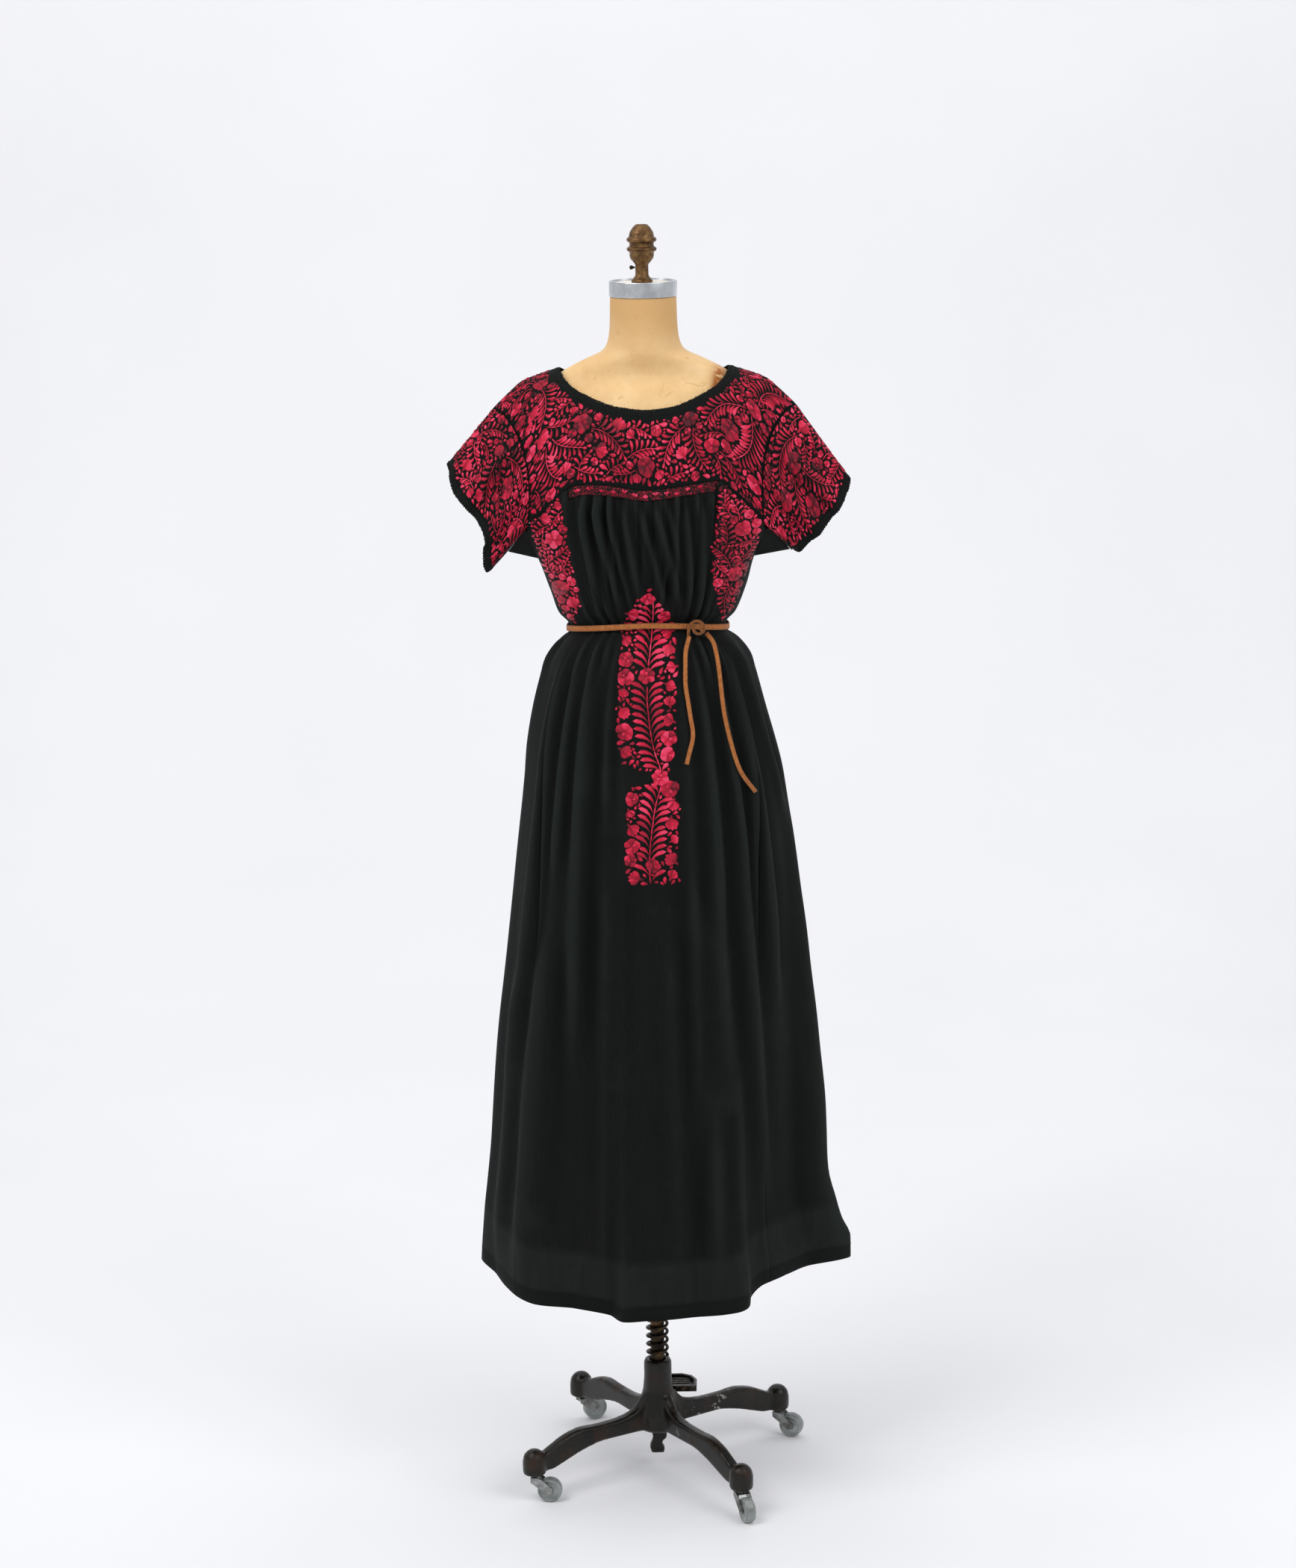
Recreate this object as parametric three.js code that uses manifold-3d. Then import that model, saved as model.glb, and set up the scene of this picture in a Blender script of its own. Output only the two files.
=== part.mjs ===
// An embroidered cotton maxi dress with a tie belt, on a limbless dress form.
// Millimetres, +Z up. The front of the dress faces -Y and the origin is on the
// floor under the column of the stand.
import * as THREE from 'three';
import { mergeVertices } from 'three/addons/utils/BufferGeometryUtils.js';
import Module from 'manifold-3d';

const wasm = await Module();
wasm.setup();

// ---- driving dimensions -----------------------------------------------------
const CLOTH = 1.6; // wall of every cloth piece
const EDGE_CLOTH = 1.2; // wall of the crocheted edgings
const SEAM_GAP = 0.3; // clear slit along each seam
const WAIST_Z = 1241; // middle of the belt
const BUST_Z = 1436; // level where the yoke meets the body of the dress
const HEM_Z = 305; // mean level of the hem
const ROUND = 2.2; // exponent of the body's rounded cross-section
const YOKE_HALF = 158; // half-width of the yoke's lower edge
const RIDGE_HALF = 205; // half-width of the shoulder line
const NECK_HALF = 125; // half-width of the neck opening on the shoulder line
const NECK_EDGING = 9; // width of the edging round the neck
const CUFF_EDGING = 8;
const BAND_HIGH = 14; // smocked band under the yoke
const BELT_WIDE = 9;
const BELT_THICK = 2.2;
const LEG_REACH = 210.6; // swivel axis of a caster from the column
const LEG_TURN = THREE.MathUtils.degToRad(57);
const WHEEL_R = 17.5;
const WHEEL_WIDE = 15;
const WHEEL_SIDES = 20;
const TRAIL = 21.5; // axle behind the swivel axis
const COIL_R = 14.3;
const WIRE_R = 2.3;
const SPRING_BOTTOM = 168.6;
const SPRING_TOP = 320;
const POLE_R = 10;

// Sizes of the dress by height: half-width on the left and the right, and depth
// in front of and behind the column.
const SIZES = [
  // z, left, right, front, back
  [290, 251, 281, 190, 108],
  [317, 250, 281, 188, 108],
  [348, 248, 281, 186, 108],
  [371, 246, 270, 184, 108],
  [403, 243, 260, 182, 108],
  [442, 238, 249, 180, 108],
  [504, 231, 245, 176, 108],
  [651, 219, 234, 168, 108],
  [796, 201, 219, 160, 107],
  [922, 186, 204, 152, 106],
  [1027, 173, 187, 144, 106],
  [1078, 168, 174, 138, 105],
  [1130, 158, 159, 131, 102],
  [1175, 145, 146, 121, 97],
  [1198, 137, 139, 113, 92],
  [1222, 120, 122, 98, 85],
  [1234, 106.5, 107.5, 84, 77],
  [1248, 106.5, 107.5, 84, 77],
  [1262, 119, 121, 93, 83],
  [1295, 133, 136, 104, 90],
  [1330, 146, 146, 111, 94],
  [1360, 160, 160, 114, 95],
  [1388, 178, 178, 116, 96],
  [1450, 190, 190, 116, 95],
];

// Deep folds of the skirt at the hem: share of the plain cross-section by angle
// from the front in degrees, positive to the right.
const HEM_FOLDS = [
  [-180, 0.985], [-165, 1.03], [-150, 0.95], [-135, 1.03], [-120, 0.95],
  [-105, 0.99], [-90, 1], [-78, 0.93], [-66, 0.965], [-50, 1.0], [-36, 0.92],
  [-21, 0.955], [-13.5, 1.05], [-4, 1.0], [8, 0.985], [20, 0.965], [33, 0.975],
  [39, 0.93], [46, 0.8], [55, 0.735], [68, 0.73], [80, 0.79], [90, 1], [102, 1.0],
  [115, 0.94], [130, 1.02], [145, 0.95], [160, 1.03], [180, 0.985],
];
// Level of the hem by the same angle.
const HEM_LEVELS = [
  [-180, 302], [-140, 306], [-110, 316], [-90, 322], [-78, 317], [-66, 313],
  [-50, 307], [-36, 304], [-21, 299], [-13.5, 296], [2, 297], [20, 297], [33, 299],
  [39, 301], [46, 307], [55, 315], [68, 318], [80, 318], [90, 317], [110, 312], [140, 306],
  [180, 302],
];
// Lower edge of the yoke by angle, and the middle part that the band covers.
const YOKE_LEVELS = [
  [-69, 1391], [-62, 1404], [-55, 1420], [-49, 1436], [-42, 1446], [-30, 1448],
  [-15, 1444], [0, 1440], [20, 1444], [36, 1449], [44, 1450], [50, 1436],
  [58, 1416], [69, 1389],
];
const BAND_FROM = -46;
const BAND_TO = 42;
const UNDERARM_FROM = 69; // the gussets fill the sides from here to 180 - 69
const UNDERARM_Z = 1331;

// Shoulder line by distance from the neck, and the outline of the armhole by
// the share of the way down from the shoulder line.
const SHOULDER = [
  [0, 1602], [90, 1598], [125, 1590.5], [142, 1585], [166, 1575.5], [180, 1564],
  [198, 1547], [205, 1540],
];
const ARMHOLE = [
  [0, 205], [0.12, 196], [0.285, 182], [0.509, 166], [0.656, 159], [0.839, 157],
  [1, 158],
];
// Neck opening: share of the way down from the shoulder line by distance from
// the middle, in front and behind.
const NECKLINE_FRONT = [
  [0, 0.6], [44, 0.58], [73, 0.544], [95, 0.5], [106, 0.44], [115, 0.34],
  [121, 0.18], [125, 0],
];
const NECKLINE_BACK = [
  [0, 0.44], [44, 0.43], [73, 0.4], [95, 0.35], [106, 0.29], [115, 0.21],
  [121, 0.11], [125, 0],
];

// ---- small helpers ----------------------------------------------------------
// A smooth curve through the rows [x, y1, y2...] of a table, read at x.
function curve(table, x, column = 1) {
  const last = table.length - 1;
  if (x <= table[0][0]) return table[0][column];
  if (x >= table[last][0]) return table[last][column];
  let i = 0;
  while (table[i + 1][0] < x) i += 1;
  const slope = (a, b) => (table[b][column] - table[a][column]) / (table[b][0] - table[a][0]);
  const chord = slope(i, i + 1);
  const limit = (s) => (s * chord <= 0 ? 0 : Math.sign(s) * Math.min(Math.abs(s), 3 * Math.abs(chord)));
  const before = limit(i > 0 ? slope(i - 1, i + 1) : chord);
  const after = limit(i + 1 < last ? slope(i, i + 2) : chord);
  const span = table[i + 1][0] - table[i][0];
  const t = (x - table[i][0]) / span;
  const [y0, y1] = [table[i][column], table[i + 1][column]];
  return (
    y0 * (1 + 2 * t) * (1 - t) ** 2 +
    y1 * t * t * (3 - 2 * t) +
    span * (before * t * (1 - t) ** 2 - after * t * t * (1 - t))
  );
}
const mix = (a, b, t) => a + (b - a) * t;
const vec = (x, y, z) => new THREE.Vector3(x, y, z);
const rad = THREE.MathUtils.degToRad;
const smooth = THREE.MathUtils.smoothstep;

// A closed loop through key points at even parameter steps.
function loopPoint(points, t) {
  const n = points.length;
  const s = (((t % 1) + 1) % 1) * n;
  const i = Math.floor(s);
  const f = s - i;
  const p = [-1, 0, 1, 2].map((k) => points[(i + k + n) % n]);
  const axis = (a) =>
    0.5 *
    (2 * p[1][a] +
      (p[2][a] - p[0][a]) * f +
      (2 * p[0][a] - 5 * p[1][a] + 4 * p[2][a] - p[3][a]) * f * f +
      (3 * p[1][a] - p[0][a] - 3 * p[2][a] + p[3][a]) * f ** 3);
  return vec(axis(0), axis(1), axis(2));
}

// A wall of even thickness round a grid of points: rows of columns, open or
// closed across the columns, with its outer face on the side of the normals.
function wall(rows, thick, closed = false) {
  const [height, width] = [rows.length, rows[0].length];
  const at = (r, c) => rows[Math.min(Math.max(r, 0), height - 1)][
    closed ? (c + width) % width : Math.min(Math.max(c, 0), width - 1)
  ];
  const positions = [];
  for (const side of [0.5, -0.5])
    for (let r = 0; r < height; r += 1)
      for (let c = 0; c < width; c += 1) {
        const across = at(r, c + 1).clone().sub(at(r, c - 1));
        const down = at(r + 1, c).clone().sub(at(r - 1, c));
        const normal = down.cross(across).normalize();
        positions.push(...at(r, c).clone().addScaledVector(normal, side * thick).toArray());
      }
  const index = [];
  const inner = height * width;
  const quad = (a, b, c, d) => index.push(a, b, c, a, c, d);
  const spans = closed ? width : width - 1;
  for (let c = 0; c < spans; c += 1) {
    const next = (c + 1) % width;
    for (let r = 0; r < height - 1; r += 1) {
      const [a, b] = [r * width + c, r * width + next];
      const [d, e] = [a + width, b + width];
      quad(a, d, e, b);
      quad(inner + a, inner + b, inner + e, inner + d);
    }
    quad(c, next, inner + next, inner + c);
    const low = (height - 1) * width;
    quad(low + c, inner + low + c, inner + low + next, low + next);
  }
  if (!closed)
    for (let r = 0; r < height - 1; r += 1) {
      const [a, d] = [r * width, (r + 1) * width];
      quad(a, inner + a, inner + d, d);
      const [b, e] = [a + width - 1, d + width - 1];
      quad(b, e, inner + e, inner + b);
    }
  const geometry = new THREE.BufferGeometry();
  geometry.setAttribute('position', new THREE.Float32BufferAttribute(positions, 3));
  geometry.setIndex(index);
  return geometry;
}

// Rings of points joined into a closed solid, with a flat cap on each end.
function skin(rings) {
  const width = rings[0].length;
  const positions = rings.flat().flatMap((p) => p.toArray());
  const index = [];
  for (let r = 0; r < rings.length - 1; r += 1)
    for (let c = 0; c < width; c += 1) {
      const [a, b] = [r * width + c, r * width + ((c + 1) % width)];
      index.push(a, b, b + width, a, b + width, a + width);
    }
  for (const [r, flip] of [[0, true], [rings.length - 1, false]]) {
    const middle = positions.length / 3;
    const centre = rings[r].reduce((sum, p) => sum.add(p), vec(0, 0, 0));
    positions.push(...centre.divideScalar(width).toArray());
    for (let c = 0; c < width; c += 1) {
      const [a, b] = [r * width + c, r * width + ((c + 1) % width)];
      index.push(...(flip ? [b, a, middle] : [a, b, middle]));
    }
  }
  const geometry = new THREE.BufferGeometry();
  geometry.setAttribute('position', new THREE.Float32BufferAttribute(positions, 3));
  geometry.setIndex(index);
  return geometry;
}

function solid(geometry) {
  const bare = geometry.index ? geometry.toNonIndexed() : geometry.clone();
  const only = new THREE.BufferGeometry();
  only.setAttribute('position', bare.getAttribute('position'));
  const merged = mergeVertices(only, 1e-4);
  return new wasm.Manifold(
    new wasm.Mesh({
      numProp: 3,
      vertProperties: merged.attributes.position.array,
      triVerts: new Uint32Array(merged.index.array),
    }),
  );
}
function geometryOf(manifold) {
  const mesh = manifold.getMesh();
  const geometry = new THREE.BufferGeometry();
  geometry.setAttribute('position', new THREE.Float32BufferAttribute(mesh.vertProperties, 3));
  geometry.setIndex(new THREE.BufferAttribute(mesh.triVerts, 1));
  return geometry;
}
const joined = (...parts) => geometryOf(parts.map(solid).reduce((a, b) => a.add(b)));

// A solid of revolution about Z from [radius, z] pairs.
function lathe(profile, segments) {
  const points = profile.map(([r, z]) => new THREE.Vector2(r, z));
  return new THREE.LatheGeometry(points, segments).rotateX(Math.PI / 2);
}
// A flat outline of [x, z] pairs given a thickness along Y, centred on y = 0.
function plate(outline, thick) {
  const shape = new THREE.Shape(outline.map(([x, z]) => new THREE.Vector2(x, z)));
  return new THREE.ExtrudeGeometry(shape, { depth: thick, bevelEnabled: false })
    .translate(0, 0, -thick / 2)
    .rotateX(Math.PI / 2);
}
function box(x, y, z, cx, cy, cz) {
  return new THREE.BoxGeometry(x, y, z).translate(cx, cy, cz);
}

// ---- materials --------------------------------------------------------------
const paint = (color, roughness, metalness) =>
  new THREE.MeshStandardMaterial({ color, roughness, metalness });
const cotton = () => paint('#1b201e', 0.9, 0);
const embroidered = () => paint('#8f1230', 0.75, 0);
const crochet = () => paint('#141716', 0.95, 0);
const suede = () => paint('#8a5526', 0.9, 0);
const castIron = () => paint('#2c2622', 0.7, 0.6);
const group = new THREE.Group();
function add(name, geometry, material) {
  const mesh = new THREE.Mesh(geometry, material);
  mesh.name = name;
  group.add(mesh);
  return mesh;
}

// ---- the body of the dress --------------------------------------------------
// Columns of the body's cloth: a gather is four columns long, close together in
// front, where the cloth is gathered into the band, and wider elsewhere.
const SEAMS = { front: 58, back: 122 };
const FRONT_COLUMNS = 48;
const SIDE_COLUMNS = 8;
const BACK_COLUMNS = 24;
// Place in the row of gathers by angle from the front, in columns.
function gatherPlace(phi) {
  const turn = ((phi % 360) + 540) % 360 - 180;
  const half = FRONT_COLUMNS / 2;
  if (Math.abs(turn) <= SEAMS.front) return (turn / SEAMS.front) * half;
  const beyond = Math.abs(turn) - SEAMS.front;
  const pitch = (SEAMS.back - SEAMS.front) / SIDE_COLUMNS;
  return Math.sign(turn) * (half + beyond / pitch);
}
// Depth of the gathers by height, for the front, and for the sides and back.
const GATHERS = [
  // z, front, sides and back
  [300, 0, 0], [900, 0.6, 1], [1080, 1.8, 3], [1170, 3.2, 5], [1215, 3, 4.2],
  [1234, 1.6, 1.8], [1248, 1.6, 1.8], [1268, 2.4, 2.4], [1330, 2.2, 1.2],
  [1400, 2.4, 0.4], [1424, 2.2, 0.2], [1436, 0.5, 0], [1450, 0.2, 0],
];
function bodyPoint(phi, z) {
  const turn = ((phi % 360) + 540) % 360 - 180;
  const [s, c] = [Math.sin(rad(turn)), Math.cos(rad(turn))];
  const across = curve(SIZES, z, s < 0 ? 1 : 2);
  const deep = curve(SIZES, z, c > 0 ? 3 : 4);
  const plain = ((Math.abs(s) / across) ** ROUND + (Math.abs(c) / deep) ** ROUND) ** (-1 / ROUND);
  const hang = Math.max(0, (WAIST_Z - 11 - z) / (WAIST_Z - 11 - HEM_Z)) ** 0.9;
  const fold = 1 + Math.min(hang, 1) * (curve(HEM_FOLDS, turn) - 1);
  const inFront = smooth(-Math.abs(turn), -SEAMS.front - 6, -SEAMS.front + 4);
  const depth = mix(curve(GATHERS, z, 2), curve(GATHERS, z, 1), inFront);
  const strips = 1 - 0.8 * smooth(Math.abs(turn), 40, 50) * smooth(z, 1255, 1290);
  const gather = depth * strips * Math.cos((gatherPlace(turn) * Math.PI) / 2);
  const r = plain * fold + gather;
  return vec(r * s, -r * c, z);
}

// Top edge of the body's cloth by angle.
function underarm(turn) {
  const side = Math.abs(Math.abs(turn) - 90) / (90 - UNDERARM_FROM);
  return mix(UNDERARM_Z, yokeLevel(Math.sign(turn) * UNDERARM_FROM), Math.min(side, 1));
}
function yokeLevel(turn) {
  const front = Math.abs(turn) <= 90 ? turn : Math.sign(turn) * (180 - Math.abs(turn));
  const level = curve(YOKE_LEVELS, front);
  return Math.abs(turn) <= 90 ? level : mix(1440, level, smooth(Math.abs(front), 30, 52));
}
const isUnderarm = (turn) => Math.abs(Math.abs(turn) - 90) < 90 - UNDERARM_FROM - 0.01;
const isBanded = (turn) => turn > BAND_FROM && turn < BAND_TO;
function bodyTop(phi) {
  const turn = ((phi % 360) + 540) % 360 - 180;
  if (isUnderarm(turn)) return underarm(turn) - SEAM_GAP;
  const lowered = smooth(turn, BAND_FROM - 3, BAND_FROM) * (1 - smooth(turn, BAND_TO, BAND_TO + 3));
  return yokeLevel(turn) - SEAM_GAP - 0.8 - lowered * (BAND_HIGH + SEAM_GAP + 0.5);
}

const LOWER_ROWS = [1262, 1248, 1234, 1222, 1190, 1130, 1050, 940, 800, 640, 480, 375];
const UPPER_ROWS = 3; // rows from the top edge down to the first of those
function bodyPanel(from, to, columns) {
  const trim = 0.24; // angle that clears the seam on each side
  const angles = Array.from({ length: columns + 1 }, (_, i) => mix(from, to, i / columns));
  angles[0] += trim;
  angles[columns] -= trim;
  const rows = [];
  for (let k = 0; k < UPPER_ROWS; k += 1)
    rows.push(angles.map((phi) => {
      const z = mix(bodyTop(phi), LOWER_ROWS[0], k / UPPER_ROWS);
      return bodyPoint(phi, z);
    }));
  for (const z of LOWER_ROWS) rows.push(angles.map((phi) => bodyPoint(phi, z)));
  rows.push(angles.map((phi) => {
    const turn = ((phi % 360) + 540) % 360 - 180;
    return bodyPoint(phi, curve(HEM_LEVELS, turn));
  }));
  return wall(rows, CLOTH);
}
const { front, back } = SEAMS;
add('front_panel', bodyPanel(-front, front, FRONT_COLUMNS), cotton());
add('side_panel_right', bodyPanel(front, back, SIDE_COLUMNS), cotton());
add('back_panel', bodyPanel(back, 360 - back, BACK_COLUMNS), cotton());
add('side_panel_left', bodyPanel(-back, -front, SIDE_COLUMNS), cotton());

// ---- the yoke ---------------------------------------------------------------
function yokeHalf(sign, side) {
  const turn = (sign || 1) * UNDERARM_FROM;
  return Math.abs(bodyPoint(side > 0 ? turn : 180 - turn, yokeLevel(turn)).x);
}
// A point of the yoke by angle of its lower edge and share of the way down from
// the shoulder line; side is 1 in front and -1 behind.
function yokePoint(turn, share, side) {
  const phi = side > 0 ? turn : 180 - turn;
  const low = bodyPoint(phi, yokeLevel(((phi % 360) + 540) % 360 - 180));
  const u = low.x / yokeHalf(Math.sign(turn), side);
  const x = u * curve(ARMHOLE, share) + (low.x - u * YOKE_HALF) * share;
  const top = curve(SHOULDER, Math.abs(u) * RIDGE_HALF);
  const angle = (share * Math.PI) / 2;
  const z = mix(low.z, top, Math.cos(angle));
  const slit = side * 0.8 * (1 - share);
  return vec(x, low.y * Math.sin(angle) - slit, z);
}
// Share at which a column of the yoke meets the neck opening.
function neckShare(turn, side) {
  const table = side > 0 ? NECKLINE_FRONT : NECKLINE_BACK;
  let [lower, upper] = [0, 0.8];
  if (Math.abs(yokePoint(turn, 0, side).x) >= NECK_HALF - 0.01) return 0;
  for (let k = 0; k < 30; k += 1) {
    const middle = (lower + upper) / 2;
    const reach = curve(table, Math.abs(yokePoint(turn, middle, side).x));
    if (middle < reach) lower = middle;
    else upper = middle;
  }
  return (lower + upper) / 2;
}
// Columns of the yoke by share of its half-width, one of them at the corner of
// the neck opening.
const CORNER = NECK_HALF / RIDGE_HALF;
const HALF_COLUMNS = [0.09, 0.18, 0.27, 0.36, 0.44, 0.51, 0.565, CORNER, 0.66, 0.72, 0.79, 0.86, 0.93, 1];
function yokeTurn(u, side) {
  let [lower, upper] = [0, UNDERARM_FROM];
  const width = (turn) => Math.abs(bodyPoint(side > 0 ? turn : 180 - turn, yokeLevel(turn)).x);
  const want = Math.abs(u) * width(Math.sign(u) * UNDERARM_FROM);
  for (let k = 0; k < 40; k += 1) {
    const middle = (lower + upper) / 2;
    if (width(Math.sign(u) * middle) < want) lower = middle;
    else upper = middle;
  }
  return (Math.sign(u) * (lower + upper)) / 2;
}
const YOKE_SHARES = [...HALF_COLUMNS.map((u) => -u).reverse(), 0, ...HALF_COLUMNS];
const YOKE_ROWS = 6;
function yokePiece(side) {
  const turns = YOKE_SHARES.map((u) => yokeTurn(u, side));
  const rows = [];
  for (let r = 0; r <= YOKE_ROWS; r += 1)
    rows.push(turns.map((turn) => {
      const share = mix(neckShare(turn, side), 1, r / YOKE_ROWS);
      return yokePoint(turn, share, side);
    }));
  if (side < 0) rows.forEach((row) => row.reverse());
  return rows;
}
const yokeFront = yokePiece(1);
const yokeBack = yokePiece(-1);
add('yoke_front', wall(yokeFront, CLOTH), embroidered());
add('yoke_back', wall(yokeBack, CLOTH), embroidered());

// The smocked band between the yoke and the gathered front.
const BAND_COLUMNS = 24;
function bandRow(drop) {
  return Array.from({ length: BAND_COLUMNS + 1 }, (_, i) => {
    const phi = mix(BAND_FROM + 0.4, BAND_TO - 0.4, i / BAND_COLUMNS);
    const p = bodyPoint(phi, yokeLevel(phi) - drop);
    const plain = bodyPoint(phi, BUST_Z);
    return vec(p.x, mix(p.y, plain.y, 0.5), p.z);
  });
}
const bandTop = SEAM_GAP + 0.5;
add('smocked_band', wall([bandRow(bandTop), bandRow(BAND_HIGH / 2), bandRow(BAND_HIGH)], CLOTH), embroidered());

// ---- the neck's edging ------------------------------------------------------
function neckLoop() {
  const inside = (row) => row.filter((p) => Math.hypot(p.x, 0) < NECK_HALF + 1);
  const front = inside(yokeFront[0]);
  const back = inside(yokeBack[0]);
  return [...front, ...back];
}
function evenLoop(points, count) {
  const lengths = points.map((p, i) => p.distanceTo(points[(i + 1) % points.length]));
  const total = lengths.reduce((a, b) => a + b, 0);
  const result = [];
  let [i, passed] = [0, 0];
  for (let k = 0; k < count; k += 1) {
    const want = (k / count) * total;
    while (passed + lengths[i] < want) {
      passed += lengths[i];
      i += 1;
    }
    const next = points[(i + 1) % points.length];
    result.push(points[i].clone().lerp(next, (want - passed) / lengths[i]));
  }
  return result;
}
const NECK_COLUMNS = 64;
const edge = evenLoop(neckLoop(), NECK_COLUMNS);
// Direction in the cloth's surface that points into the neck opening: steep in
// front and behind, and nearly level on the shoulders.
function inward(p) {
  const flat = vec(-p.x, -p.y * 1.4, 0).normalize();
  const rise = mix(0.42, 1.75, smooth(Math.abs(p.y), 0, 70));
  const level = Math.abs(p.x) > 80 ? vec(-Math.sign(p.x), 0, 0) : flat;
  const turned = level.lerp(flat, smooth(Math.abs(p.y), 10, 60)).normalize();
  return turned.setZ(rise).normalize();
}
const neckRow = (reach) => edge.map((p) => p.clone().addScaledVector(inward(p), reach));
add('neck_edging', wall([neckRow(NECK_EDGING), neckRow(1.5)], EDGE_CLOTH, true), crochet());

// ---- sleeves and gussets ----------------------------------------------------
// Each sleeve runs from the armhole to the cuff between two loops of key points,
// both starting at the top and going down the front.
const SLEEVES = {
  right: {
    sign: 1,
    out: [199, 0, 1340],
    cuff: [
      [273, 0, 1444], [271, -18, 1439], [260, -38, 1412], [243, -46, 1392], [224, -43, 1368],
      [205, -27, 1349], [199, 0, 1346], [208, 26, 1361], [226, 40, 1384], [244, 40, 1404],
      [260, 30, 1425], [269, 14, 1439],
    ],
  },
  left: {
    sign: -1,
    out: [-192, 0, 1342],
    cuff: [
      [-264, 0, 1470], [-260, -18, 1455], [-254, -34, 1435], [-242, -44, 1419],
      [-224, -52, 1400], [-211, -58, 1374], [-213, -61, 1348], [-211, -46, 1330],
      [-197, -12, 1344], [-202, 10, 1356], [-212, 28, 1372], [-226, 38, 1390],
      [-240, 40, 1408], [-251, 34, 1428], [-258, 22, 1446], [-263, 10, 1462],
    ],
  },
};
const SLEEVE_ROWS = 6;
const SLEEVE_INSET = 0.026; // share of the sleeve's length left open at the armhole seam
const UNDER_STEPS = 3; // columns along each half of the gusset's outer edge
// The armhole side of a sleeve: down the yoke's edge, along the gusset's outer
// edge under the arm and up behind.
function armLoop({ sign, out }) {
  const turn = sign * UNDERARM_FROM;
  const edgeOf = (side) => {
    const points = [];
    for (let r = 0; r <= YOKE_ROWS; r += 1) {
      const p = yokePoint(turn, r / YOKE_ROWS, side);
      if (r > 0) points.push(points[points.length - 1].clone().lerp(p, 0.5));
      points.push(p);
    }
    return points;
  };
  const [inFront, behind] = [edgeOf(1), edgeOf(-1).reverse()];
  const corner = vec(...out);
  const under = [];
  for (let k = 1; k <= UNDER_STEPS; k += 1)
    under.push(inFront[inFront.length - 1].clone().lerp(corner, k / UNDER_STEPS));
  for (let k = 1; k < UNDER_STEPS; k += 1)
    under.push(corner.clone().lerp(behind[0], k / UNDER_STEPS));
  const loop = [...inFront, ...under, ...behind];
  loop.pop();
  loop[0].setY(0);
  return loop;
}
// Folds across a sleeve by place round it, from the top down the front.
const SLEEVE_FOLDS = [
  [0, 0], [0.06, 3], [0.12, -5], [0.18, 6], [0.24, -6], [0.3, 7], [0.36, -6], [0.42, 4],
  [0.5, 0], [0.58, 4], [0.66, -5], [0.74, 5], [0.82, -5], [0.9, 4], [1, 0],
];
function sleeveRows(sleeve) {
  const start = armLoop(sleeve);
  const count = start.length;
  const finish = start.map((_, c) => loopPoint(sleeve.cuff, c / count));
  const middle = (loop) => loop.reduce((sum, p) => sum.add(p), vec(0, 0, 0)).divideScalar(count);
  const [from, to] = [middle(start), middle(finish)];
  const rows = [];
  for (let r = 0; r <= SLEEVE_ROWS; r += 1) {
    const s = mix(SLEEVE_INSET, 1, r / SLEEVE_ROWS);
    const centre = from.clone().lerp(to, s);
    const strength = Math.sin(Math.PI * Math.min(s * 0.72, 0.75));
    const row = start.map((p, c) => {
      const point = p.clone().lerp(finish[c], s);
      const outward = vec(0, point.y - centre.y, (point.z - centre.z) * 0.4).normalize();
      return point.addScaledVector(outward, curve(SLEEVE_FOLDS, c / count) * strength);
    });
    rows.push(sleeve.sign > 0 ? row : row.reverse());
  }
  return rows;
}
function gussetRows({ sign, out }) {
  const n = 4;
  const turn = sign * UNDERARM_FROM;
  const inner = (t) => {
    const phi = sign * mix(UNDERARM_FROM, 180 - UNDERARM_FROM, t);
    return bodyPoint(phi, underarm(phi));
  };
  const corner = vec(...out);
  const [frontCorner, backCorner] = [yokePoint(turn, 1, 1), yokePoint(turn, 1, -1)];
  const outer = (t) =>
    t < 0.5 ? frontCorner.clone().lerp(corner, t * 2) : corner.clone().lerp(backCorner, t * 2 - 1);
  const rows = [];
  for (let r = 0; r <= n; r += 1) {
    const row = [];
    for (let c = 0; c <= n; c += 1) {
      const t = mix(0.12, 0.88, c / n);
      const [from, to] = [inner(t), outer(t)];
      const reach = from.distanceTo(to);
      const p = from.lerp(to, mix(0.5 / reach, 1 - 2.2 / reach, r / n));
      row.push(p.add(vec(0, 0, 1.2)));
    }
    rows.push(sign > 0 ? row : row.reverse());
  }
  return rows.reverse();
}
for (const [side, sleeve] of Object.entries(SLEEVES)) {
  const rows = sleeveRows(sleeve);
  add(`sleeve_${side}`, wall(rows, CLOTH, true), embroidered());
  add(`gusset_${side}`, wall(gussetRows(sleeve), CLOTH), cotton());
  const [previous, cuff] = rows.slice(-2);
  const edging = [1.5 + SEAM_GAP, CUFF_EDGING].map((reach) =>
    cuff.map((p, i) => {
      const [before, after] = [cuff.at(i - 1), cuff[(i + 1) % cuff.length]];
      const rim = after.clone().sub(before).normalize();
      const away = p.clone().sub(previous[i]);
      away.addScaledVector(rim, -away.dot(rim)).normalize();
      return p.clone().addScaledVector(away, reach);
    }),
  );
  add(`cuff_edging_${side}`, wall(edging, EDGE_CLOTH, true), crochet());
}

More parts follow.
